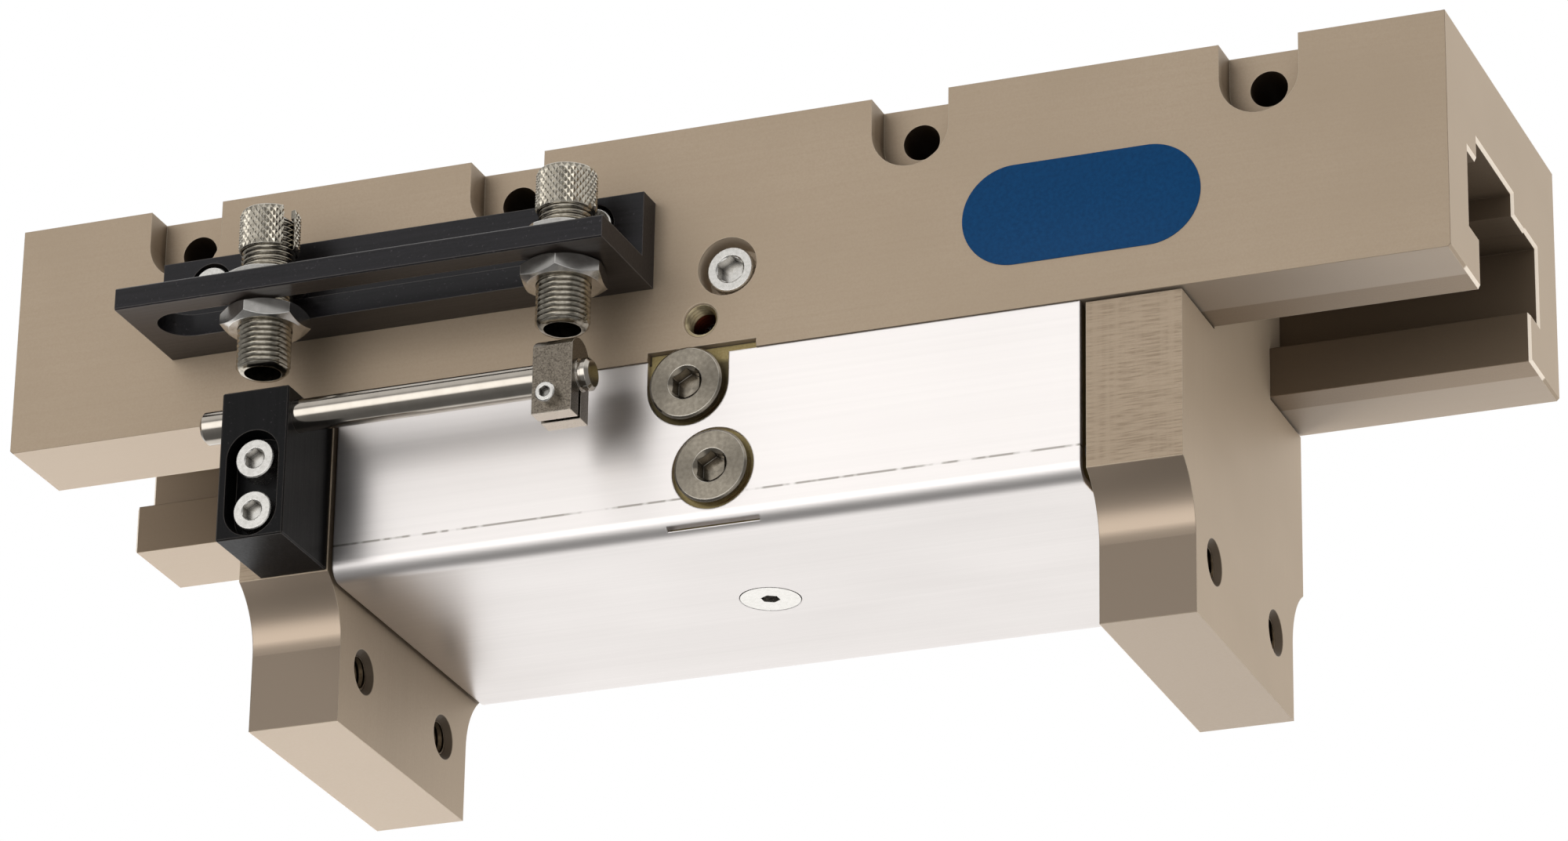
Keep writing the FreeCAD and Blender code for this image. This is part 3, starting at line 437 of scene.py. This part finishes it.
def turnedMetal(name, spec):
    # bright metal: grit of its plating or grinding, painted shade in grooves, and tool rings where it was
    # face turned
    material, tree, place, shader = startFinish(name, 1.0, spec["rough"])
    rounded, wearAndHighlight = softEdge(tree, spec["rim"] * mm)
    grain = streaks(tree, place, (spec["grit"],) * 3, 3.0)
    if "feed" in spec:
        ringPitch = 0.314  # metres between the rings of the wave pattern at scale 1
        shifted = addNode(tree, "Mapping", (place, tuple(-c for c in spec["centre"])))
        turned = addNode(tree, "TexWave", {"Vector": shifted, "Scale": ringPitch / (spec["feed"] * mm),
                                           "Distortion": 1.5, "Detail": 2.0, "Detail Scale": 3.0},
                         1, wave_type="RINGS", rings_direction="Y")
        marks = addNode(tree, "Math", (turned, 0.03, grain), operation="MULTIPLY_ADD")
        around = addNode(tree, "VectorMath", (shifted, (0, 1, 0)), operation="CROSS_PRODUCT")
        tree.links.new(around, shader.inputs["Tangent"])
        shader.inputs["Anisotropic"].default_value = 0.80
        shader.inputs["Anisotropic Rotation"].default_value = 0.25
    else:
        marks = addNode(tree, "Math", (grain, 1.5), operation="MULTIPLY")
    # the edge layer is a lighter rim: partly wear, partly a painted highlight
    layers = [(addNode(tree, "MapRange", (marks, 0.35, 1.15, 0.0, 1.0)), "light"),
              (addNode(tree, "MapRange", (wearAndHighlight, 0.0, 1.0, 0.0, 0.75)), "edge")]
    if "under" in spec:
        layers.append((undersideMask(tree), "under"))  # painted light: the underside is painted bright, as if lit from below
    if "lock" in spec:
        # thread lacquer that was pushed back by the screw
        deep = addNode(tree, "Math", (addNode(tree, "SeparateXYZ", (place,), 1),), operation="ABSOLUTE")
        layers.append((addNode(tree, "MapRange", (deep, *spec["lockBorder"], 0.0, 1.0)), "lock"))
    # painted shade in grooves, threads and sockets
    if "groove" in spec:
        layers.append((hollow(tree, spec["groove"] * mm, 0.25, 0.80), "oil"))
    rough = addNode(tree, "MapRange", (marks, 0.3, 1.2, spec["rough"] * 0.85, spec["rough"] * 1.25))
    endFinish(tree, shader, spec, layers, marks, 0.002 * mm, rounded, rough)
    return material


def softSolid(name, spec):
    # rubber or film: plain body colour with a slight mottle
    material, tree, place, shader = startFinish(name, 0.0, spec["rough"])
    shader.inputs["Specular IOR Level"].default_value = spec["gloss"]
    mottle = streaks(tree, place, (0.6, 0.6, 0.6), 3.0)
    layers = [(addNode(tree, "MapRange", (mottle, 0.3, 0.7, 0.0, 1.0)), "light")]
    endFinish(tree, shader, spec, layers, mottle, 0.006 * mm, addNode(tree, "NewGeometry", out="Normal"))
    return material


def dress(material, *names):
    for name in names:
        if not nodes[name].material_slots:
            nodes[name].data.materials.append(material)
        for slot in nodes[name].material_slots:
            slot.material = material


# Housing, jaws and block

# the edge colour is a lighter rim, partly wear and partly a painted highlight; the slot colour is painted
# shade in slots, hole mouths and recesses
tan = {"dark": "#A08E79", "light": "#AA9984", "deep": "#9C8B76", "edge": "#D3C3AE", "slot": "#33271A",
       "level": "#A09385"}
screwLow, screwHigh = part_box("block_screws")
screwHeadRadius = 3.5 * mm
# the housing's slot walls and the thin line along its front corner are painted shade, the walls of the screw
# counterbores painted light, and the chamfers at the slot ends a painted highlight
# boreDepth and breakFacing are a middle and how far it reaches to each side
housingSpec = dict(
    tan, lines=(45, 0.45, 0.45), lip="#86745F", cornerShadeLine="#6F5F4C", slotEndHighlight="#F0E3D2",
    bores={"centre": (screwHigh.x - screwHeadRadius, (screwLow.z + screwHigh.z) / 2, 0),
           "border": (4.7 * mm, 4.6 * mm)},
    boreDepth=(25.3 * mm, 2.5 * mm), breakFacing=(0.68, 0.25), frontBorder=(-27.4 * mm, -27.6 * mm),
    underBorder=(-35.4 * mm, -35.6 * mm), endBorder=(109.4 * mm, 109.6 * mm),
    slotBorder=(18.3 * mm, 18.5 * mm), shelfBorder=(-12.5 * mm, -13.0 * mm),
    mouthBorder=(-35.95 * mm, -35.90 * mm), jawBorder=(59 * mm, 60 * mm),
    breakBorder=(20 * mm, 20.5 * mm), tipBorder=(108 * mm, 108.5 * mm))
dress(hardAnodised("hardAnodisedHousing", housingSpec), "housing")

jawSpec = dict(
    tan, lines=(0.5, 0.5, 30), dashes=(3.2, 3.2, 0.22), uprights=(1.1, 1.1, 40), weave="#8E7D69",
    cove="#A19180", foot="#7D7062", coveBorder=(-61.4 * mm, -61.3 * mm),
    holes={"centre": (14 * mm, -72 * mm, 0), "border": (3.45 * mm, 3.30 * mm)})
dress(hardAnodised("hardAnodisedJaw", jawSpec), "right_base_jaw", "left_base_jaw")

plugLow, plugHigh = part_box("upper_port_plug")
# the block's slot colour is painted shade in its recesses, and its gap colour painted shade in the gap round
# the upper plug
blockSpec = {
    "dark": "#8A7A4E", "light": "#AA9A6C", "deep": "#85754A", "edge": "#D2C496", "slot": "#54441F",
    "dirt": "#241C10", "lines": (40, 0.5, 0.5), "notchBorder": (-36.5 * mm, -37.3 * mm),
    "gap": {"centre": (abs(plugLow.x + plugHigh.x) / 2, (plugLow.z + plugHigh.z) / 2, 0),
            "border": (6.7 * mm, 6.4 * mm)}}
dress(hardAnodised("goldAnodisedBlock", blockSpec), "cylinder_block")
print("housing, jaws and block dressed")


# Cover, bracket and cam holder

coverSpec = {"dark": "#E5E0DD", "light": "#E8E3E0", "scuff": "#8C867E", "scuffZ": -57.8 * mm,
             "scuffBorder": (0.10 * mm, 0.22 * mm), "frontBorder": (-26 * mm, -27 * mm)}
dress(rolledStainless("rolledStainlessSheet", coverSpec), "cover_sheet")

# the bracket's underside colour is painted light from below
bracketSpec = {"dark": "#060507", "light": "#161317", "edge": "#5E5955", "dust": "#423D41",
               "under": "#27221F", "lines": (25, 0.5, 0.5), "gloss": 0.30}
dress(blackAnodised("blackAnodisedBracket", bracketSpec), "sensor_bracket")

holderSpec = {"dark": "#050505", "light": "#0C0B0C", "edge": "#55504C", "dust": "#343032",
              "lines": (0.5, 0.5, 14), "gloss": 0.13}
dress(blackAnodised("blackAnodisedHolder", holderSpec), "cam_holder")


# Bright metal: rough is the gloss, rim, grit, groove and feed are in mm

# each finish's edge colour is a lighter rim, partly wear and partly a painted highlight; the dark groove
# colour is painted shade in threads, knurls and sockets, and the clamp's underside colour painted light from
# below
zinc = {"dark": "#CFCCC6", "light": "#E2DFDA", "edge": "#F6F4F1", "oil": "#3A352F"}
metalSpec = {
    "zincPlatedSteel": dict(zinc, rough=0.25, rim=0.12, grit=0.5, groove=1.4),
    "zincPlatedNut": dict(zinc, rough=0.20, rim=0.15, grit=1.2),
    "groundChromedSteel": {"dark": "#A8A197", "light": "#B8B1A7", "edge": "#F2EDE5",
                           "rough": 0.13, "rim": 0.12, "grit": 3.0},
    "nickelPlatedBrass": {"dark": "#8F887B", "light": "#CDC6B7", "edge": "#FAF5EA", "oil": "#1E1A15",
                          "rough": 0.16, "rim": 0.05, "grit": 0.8, "groove": 0.6},
    "blastedNickelClamp": {"dark": "#4B443C", "light": "#8F8679", "edge": "#F3EADD", "under": "#D9CFC2",
                           "rough": 0.28, "rim": 0.16, "grit": 0.20},
    "oiledToolSteel": {"dark": "#5B5A5C", "light": "#858487", "edge": "#B5B4B6",
                       "rough": 0.32, "rim": 0.12, "grit": 0.6},
    "turnedAluminium": {"dark": "#B4B4B4", "light": "#D6D6D6", "edge": "#F0F0F0",
                        "rough": 0.28, "rim": 0.12, "grit": 0.5},
    "sinteredBronze": {"dark": "#8F6737", "light": "#B5854C", "edge": "#D8AC76",
                       "rough": 0.38, "rim": 0.12, "grit": 0.4},
    "softCopper": {"dark": "#A7633F", "light": "#C98761", "edge": "#E5B091",
                   "rough": 0.30, "rim": 0.10, "grit": 0.5},
    # the finger threads' dark colours are painted shade inside the finger holes
    "tappedAluminiumInShade": {"dark": "#4A3D2E", "light": "#75654F", "edge": "#C9BAA4", "oil": "#1C160F",
                        "rough": 0.36, "rim": 0.06, "grit": 0.5, "groove": 2.5},
    "lockedTappedAluminium": {"dark": "#9C8C6C", "light": "#C4B593", "edge": "#EFE3C4", "oil": "#1A130C",
                              "rough": 0.30, "rim": 0.06, "grit": 0.8, "groove": 0.9, "lock": "#4E2014",
                              "lockBorder": (25.4 * mm, 24.6 * mm)},
}
metal = {name: turnedMetal(name, spec) for name, spec in metalSpec.items()}
dress(metal["zincPlatedSteel"], "block_screws", "set_screws", "bracket_screws", "cam_holder_screws",
      "cam_clamp_screw", "cover_screw", "right_rack_screws", "left_rack_screws", "right_piston_nut",
      "left_piston_nut")
dress(metal["groundChromedSteel"], "cam_rod", "right_piston_rod", "left_piston_rod")
dress(metal["zincPlatedNut"], "lower_nuts", "upper_nuts")
dress(metal["blastedNickelClamp"], "cam_clamp")
dress(metal["oiledToolSteel"], "right_rack", "left_rack", "pinion", "pinion_axle", "retaining_rings")
dress(metal["turnedAluminium"], "right_piston", "left_piston", "right_gland", "left_gland", "duct_plugs")
dress(metal["sinteredBronze"], "pinion_washer")
dress(metal["softCopper"], "plug_seals")

plugSpec = {"dark": "#8A8275", "light": "#ABA395", "edge": "#F6F1E8", "oil": "#342D25",
            "rough": 0.18, "rim": 0.20, "grit": 0.6, "groove": 1.6, "feed": 0.30}
for plugName in ("upper_port_plug", "lower_port_plug"):
    plugLow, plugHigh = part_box(plugName)
    plugFace = dict(plugSpec, centre=(plugLow + plugHigh) / 2)
    dress(turnedMetal("faceTurnedSteel_" + plugName, plugFace), plugName)

sealSpec = {"dark": "#101010", "light": "#1B1B1B", "rough": 0.55, "gloss": 0.5}
dress(softSolid("nitrileRubber", sealSpec), "rod_seals", "right_piston_seal", "left_piston_seal")
print("CAD nodes dressed")


# Threaded sleeves of the sensors, with the thread spacing that shows

sleeveSpec = {"pitch": 0.8 * mm, "depth": 0.44 * mm, "chamfer": 0.75 * mm, "bore": 2.7 * mm,
              "clear": 0.02 * mm, "smooth": 60}


def threadedSleeve(name, node):
    low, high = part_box(node)
    radius = (high.x - low.x) / 2
    length = high.z - low.z
    sleeve = threadBar(name, radius, radius - sleeveSpec["depth"], sleeveSpec["pitch"], 0, length)
    blank = turnedTube(name + "_blank", radius + sleeveSpec["clear"], sleeveSpec["bore"], length,
                       sleeveSpec["chamfer"])
    carve(sleeve, blank, "INTERSECT")
    smooth(sleeve, sleeveSpec["smooth"])
    settle(sleeve, ((low.x + high.x) / 2, (low.y + high.y) / 2, low.z))
    coat(sleeve, metal["nickelPlatedBrass"])
    return sleeve


for side in ("left", "right"):
    piece = threadedSleeve(side + "SensorSleeve", side + "_sensor_sleeve")
    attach(piece, "gripper_body")
    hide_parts(side + "_sensor_sleeve")
    print("sleeve", side, len(piece.data.polygons), "faces")


# Knurled clamp caps, diamonds cut into the turned cap, slit down one side

capSpec = {"around": 30, "rows": 5, "groove": 0.26 * mm, "rim": 0.16 * mm, "hole": 3.4 * mm,
           "seat": 3.97 * mm, "seatClear": 0.05 * mm, "slit": 2.2 * mm,
           "turn": {"left": -23.0, "right": 72.0}}


def ringOut(radius, nextRadius, lift):
    # carries the picked rim on to the next radius and height
    bpy.ops.mesh.extrude_edges_move(TRANSFORM_OT_translate={"value": (0, 0, lift)})
    factor = nextRadius / radius
    bpy.ops.transform.resize(value=(factor, factor, 1), center_override=(0, 0, 0))


def knurledCap(name, node, sleeveNode, turn):
    low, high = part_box(node)
    radius = (high.x - low.x) / 2
    height = high.z - low.z
    rim, hole, seat = capSpec["rim"], capSpec["hole"], capSpec["seat"]
    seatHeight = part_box(sleeveNode)[1].z - low.z + capSpec["seatClear"]
    outer = radius - capSpec["groove"]
    inset = outer - rim
    top = height - rim
    startClean()
    bpy.ops.mesh.primitive_cylinder_add(vertices=capSpec["around"], radius=outer, depth=height - 2 * rim,
                                        end_fill_type="NOTHING", location=(0, 0, height / 2))
    cap = bpy.context.object
    cap.name = name
    settle(cap, (0, 0, height / 2))
    # the wall is cut into cells, the cells become diamonds, and each diamond gets its point
    openMesh(cap, "EDGE")
    pick(cap, "edges", lambda e: rise(e) > speck)
    bpy.ops.mesh.subdivide(number_cuts=capSpec["rows"] - 1)
    gridCount = len(bmesh.from_edit_mesh(cap.data).verts)
    bpy.ops.mesh.select_all(action="SELECT")
    bpy.ops.mesh.poke()
    bmesh.from_edit_mesh(cap.data).verts.index_update()
    pick(cap, "edges", lambda e: max(v.index for v in e.verts) < gridCount and not e.is_boundary)
    bpy.ops.mesh.dissolve_edges(use_verts=False)
    bpy.ops.mesh.select_mode(type="FACE")
    pick(cap, "faces", lambda f: len(f.verts) == 4)
    bpy.ops.mesh.poke(offset=capSpec["groove"])
    # from the top rim over the end, down the bore and back to the lower rim
    bpy.ops.mesh.select_mode(type="EDGE")
    pick(cap, "edges", lambda e: e.is_boundary and all(abs(v.co.z - top) < speck for v in e.verts))
    ringOut(outer, inset, rim)
    ringOut(inset, hole, 0)
    ringOut(hole, hole, seatHeight - height)
    ringOut(hole, seat, 0)
    ringOut(seat, seat, -seatHeight)
    ringOut(seat, inset, 0)
    ringOut(inset, outer, rim)
    closeMesh()
    tidyMesh(cap, speck)
    startClean()
    bpy.ops.mesh.primitive_cube_add(size=1, location=(radius, 0, height / 2))
    slit = bpy.context.object
    slit.scale = (2 * radius, capSpec["slit"], 2 * height)
    settle(slit, (radius, 0, height / 2))
    settle(slit, (0, 0, 0), (0, 0, math.radians(turn)))
    carve(cap, slit, "DIFFERENCE")
    settle(cap, ((low.x + high.x) / 2, (low.y + high.y) / 2, low.z))
    coat(cap, metal["nickelPlatedBrass"])
    return cap


for side in ("left", "right"):
    piece = knurledCap(side + "KnurledCap", side + "_knurled_cap", side + "_sensor_sleeve",
                       capSpec["turn"][side])
    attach(piece, side + "_cap")
    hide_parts(side + "_knurled_cap")
    print("cap", side, len(piece.data.polygons), "faces")


# Thread turns in the finger holes and in the small holes of the lips

fingerSpec = {"core": 2.5 * mm, "pitch": 1.0 * mm, "crest": 0.34 * mm, "sink": 0.9 * mm, "z": -72.0 * mm,
              "y": 14.0 * mm, "inner": 57.4 * mm, "outer": 71.4 * mm}
lipSpec = {"core": 2.5 * mm, "pitch": 0.8 * mm, "crest": 0.40 * mm, "low": -27.80 * mm, "high": -21.97 * mm,
           "x": -0.3 * mm, "z": -30.7 * mm}
tapSpec = {"chamfer": 0.05 * mm, "inset": 0.03 * mm, "past": 0.3 * mm, "smooth": 24}


def threadInsert(name, spec, length, material):
    core, past = spec["core"], tapSpec["past"]
    insert = turnedTube(name, core, 0, length, tapSpec["chamfer"])
    tap = threadBar(name + "_tap", core - tapSpec["inset"], core - spec["crest"], spec["pitch"],
                    -past, length + past)
    carve(insert, tap, "DIFFERENCE")
    smooth(insert, tapSpec["smooth"])
    coat(insert, material)
    return insert


fingerStart = fingerSpec["inner"] + fingerSpec["sink"]
fingerTurns = threadInsert("fingerThread", fingerSpec, fingerSpec["outer"] - fingerSpec["sink"] - fingerStart,
                           metal["tappedAluminiumInShade"])
for side, body in ((1, "right_jaw"), (-1, "left_jaw")):
    for row, rowName in ((-1, "FrontThread"), (1, "BackThread")):
        piece = copyOf(fingerTurns, body + rowName)
        settle(piece, (side * fingerStart, row * fingerSpec["y"], fingerSpec["z"]),
               (0, math.radians(90 * side), 0))
        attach(piece, body)
bpy.data.objects.remove(fingerTurns)

lipTurns = threadInsert("lipThread", lipSpec, lipSpec["high"] - lipSpec["low"],
                        metal["lockedTappedAluminium"])
for side, sideName in ((1, "front"), (-1, "back")):
    piece = copyOf(lipTurns, sideName + "LipThread")
    settle(piece, (side * lipSpec["x"], side * lipSpec["low"], lipSpec["z"]),
           (math.radians(-90 * side), 0, 0))
    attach(piece, "gripper_body")
bpy.data.objects.remove(lipTurns)
print("thread turns cut")


# Blank film label on the front

labelSpec = {"left": 39.2 * mm, "right": 74.4 * mm, "low": -29.2 * mm, "high": -13.8 * mm, "face": -28.0 * mm,
             "thick": 0.12 * mm, "endFlat": 0.005 * mm, "endSteps": 24, "softRim": 0.04 * mm, "rimSteps": 2,
             "sharp": 0.5, "smooth": 30, "dark": "#07345A", "light": "#0A3C66", "rough": 0.50, "gloss": 0.10}
tall = labelSpec["high"] - labelSpec["low"]
labelMidY = labelSpec["face"] - labelSpec["thick"] / 2
labelMiddle = ((labelSpec["left"] + labelSpec["right"]) / 2, labelMidY,
               (labelSpec["low"] + labelSpec["high"]) / 2)
startClean()
bpy.ops.mesh.primitive_cube_add(size=1, location=labelMiddle)
label = bpy.context.object
label.name = "blankLabel"
label.scale = (labelSpec["right"] - labelSpec["left"], labelSpec["thick"], tall)
settle(label, labelMiddle)
openMesh(label, "EDGE")
pick(label, "edges", lambda e: abs(e.verts[0].co.y - e.verts[1].co.y) > speck)
bpy.ops.mesh.bevel(offset=tall / 2 - labelSpec["endFlat"], segments=labelSpec["endSteps"], affect="EDGES")
pick(label, "edges", lambda e: all(v.co.y < labelMidY for v in e.verts)
     and e.calc_face_angle(0) > labelSpec["sharp"])
bpy.ops.mesh.bevel(offset=labelSpec["softRim"], segments=labelSpec["rimSteps"], affect="EDGES")
closeMesh()
tidyMesh(label)
smooth(label, labelSpec["smooth"])
coat(label, softSolid("bluePrintedFilm", labelSpec))
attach(label, "gripper_body")
print("label laid")


# Camera

cameraSpec = {"place": (0.328129, -0.817164, -0.415281), "turn": (113.3711, -0.9358, 21.3776),
              "lens": 151.437}
cameraData = bpy.data.cameras.new("photoCamera")
cameraData.lens = cameraSpec["lens"]
cameraData.sensor_width = 36
cameraData.clip_start = 0.01
cameraData.clip_end = 50
camera = bpy.data.objects.new("photoCamera", cameraData)
camera.location = cameraSpec["place"]
camera.rotation_euler = [math.radians(a) for a in cameraSpec["turn"]]
bpy.context.scene.collection.objects.link(camera)
bpy.context.scene.camera = camera


# Pale floor, seen from above only, that takes the shadow and throws no light back

floorSpec = {"size": 4, "drop": 0.3 * mm, "paper": "#F4F3F1", "lift": 0.12}
startClean()
bpy.ops.mesh.primitive_grid_add(x_subdivisions=8, y_subdivisions=8, size=floorSpec["size"],
                                location=(0, 0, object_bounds()[0][2] - floorSpec["drop"]))
floor = bpy.context.object
floor.name = "paleFloor"
floorPaint, tree, place, shader = startFinish("palePaper", 0.0, 0.8)
shader.inputs["Base Color"].default_value = linear(floorSpec["paper"])
seen = addNode(tree, "LightPath", out="Is Camera Ray")
lift = addNode(tree, "Math", (seen, floorSpec["lift"]), operation="MULTIPLY")
pale = addNode(tree, "Emission", {"Strength": lift})
paper = addNode(tree, "AddShader", (shader.outputs[0], pale))
behind = addNode(tree, "NewGeometry", out="Backfacing")
oneSided = addNode(tree, "MixShader", (behind, paper, addNode(tree, "BsdfTransparent")))
tree.links.new(oneSided, tree.nodes["Material Output"].inputs["Surface"])
floor.data.materials.append(floorPaint)
floor.visible_diffuse = False
floor.visible_glossy = False
floor.visible_transmission = False
floor.visible_shadow = False


# Soft lamps: level is the brightness of the lamp's face

lampSpec = {
    "frontSoft": {"from": (-0.70, -1.80, -0.20), "to": (0, 0, -0.03), "size": (2.2, 1.6), "level": 2.5},
    "lowSoft": {"from": (-0.32, 0.14, -0.44), "to": (0, 0, -0.04), "size": (0.4, 0.4), "level": 11.0},
    "rightSoft": {"from": (1.5, 0.05, -0.15), "to": (0, 0, -0.03), "size": (0.6, 0.5), "level": 22.0},
    "topSoft": {"from": (-0.3, 0.8, 1.5), "to": (0, 0, -0.02), "size": (1.2, 1.0), "level": 4.5},
}
for name, lamp in lampSpec.items():
    data = bpy.data.lights.new(name, "AREA")
    data.shape = "RECTANGLE"
    data.size, data.size_y = lamp["size"]
    data.energy = math.pi * lamp["size"][0] * lamp["size"][1] * lamp["level"]
    lampObject = bpy.data.objects.new(name, data)
    lampObject.location = lamp["from"]
    aim = Vector(lamp["to"]) - Vector(lamp["from"])
    lampObject.rotation_euler = aim.to_track_quat("-Z", "Y").to_euler()
    lampObject.visible_camera = False
    lampObject.visible_glossy = False  # metal shows the studio itself, which the world gives
    bpy.context.scene.collection.objects.link(lampObject)


# Pale panels of the studio as bright metal sees them: way to the middle, inner and outer angle, level

studioSpec = {"darkBelow": (-0.85, -0.35, 0.18, 0.32), "soft": 0.45, "background": 1.0}
panels = [
    {"way": (-0.34, -0.88, 0.34), "inner": 26, "outer": 50, "level": 0.45},
    {"way": (-0.34, 0.85, -0.40), "inner": 28, "outer": 52, "level": 1.30},
    {"way": (0.34, 0.85, 0.40), "inner": 35, "outer": 62, "level": 1.15},
    {"way": (-0.36, -0.93, 0.0), "inner": 12, "outer": 28, "level": 2.30},
    {"way": (0.0, 0.0, 1.0), "inner": 45, "outer": 80, "level": 1.00},
    {"way": (0.34, -0.85, -0.40), "inner": 22, "outer": 42, "level": 0.90},
]
world = bpy.context.scene.world or bpy.data.worlds.new("studio")
bpy.context.scene.world = world
world.use_nodes = True
tree = world.node_tree
tree.nodes.clear()
rays = addNode(tree, "LightPath").node.outputs
shown = addNode(tree, "Math", (rays["Is Camera Ray"], rays["Is Glossy Ray"]), operation="MAXIMUM")
shown = addNode(tree, "Math", (shown, rays["Is Transmission Ray"]), operation="MAXIMUM")
way = addNode(tree, "TexCoord", out="Generated")
fall = addNode(tree, "SeparateXYZ", (way,), 2)
studio = addNode(tree, "MapRange", (fall, *studioSpec["darkBelow"]))
for panel in panels:
    toward = addNode(tree, "VectorMath", (way, Vector(panel["way"]).normalized()), "Value",
                     operation="DOT_PRODUCT")
    outer = math.cos(math.radians(panel["outer"]))
    inner = math.cos(math.radians(panel["inner"]))
    glow = addNode(tree, "MapRange", (toward, outer, inner, 0.0, panel["level"]),
                   interpolation_type="SMOOTHSTEP")
    studio = addNode(tree, "Math", (glow, studio), operation="MAXIMUM")
studio = addNode(tree, "Mix", {0: rays["Is Camera Ray"], 2: studio, 3: studioSpec["background"]},
                 data_type="FLOAT")
strength = addNode(tree, "Mix", {0: shown, 2: studioSpec["soft"], 3: studio}, data_type="FLOAT")
sky = addNode(tree, "Background", {"Color": (1, 1, 1, 1), "Strength": strength})
addNode(tree, "OutputWorld", {"Surface": sky})
bpy.context.scene.view_settings.view_transform = "Standard"
print("camera, floor and light set")
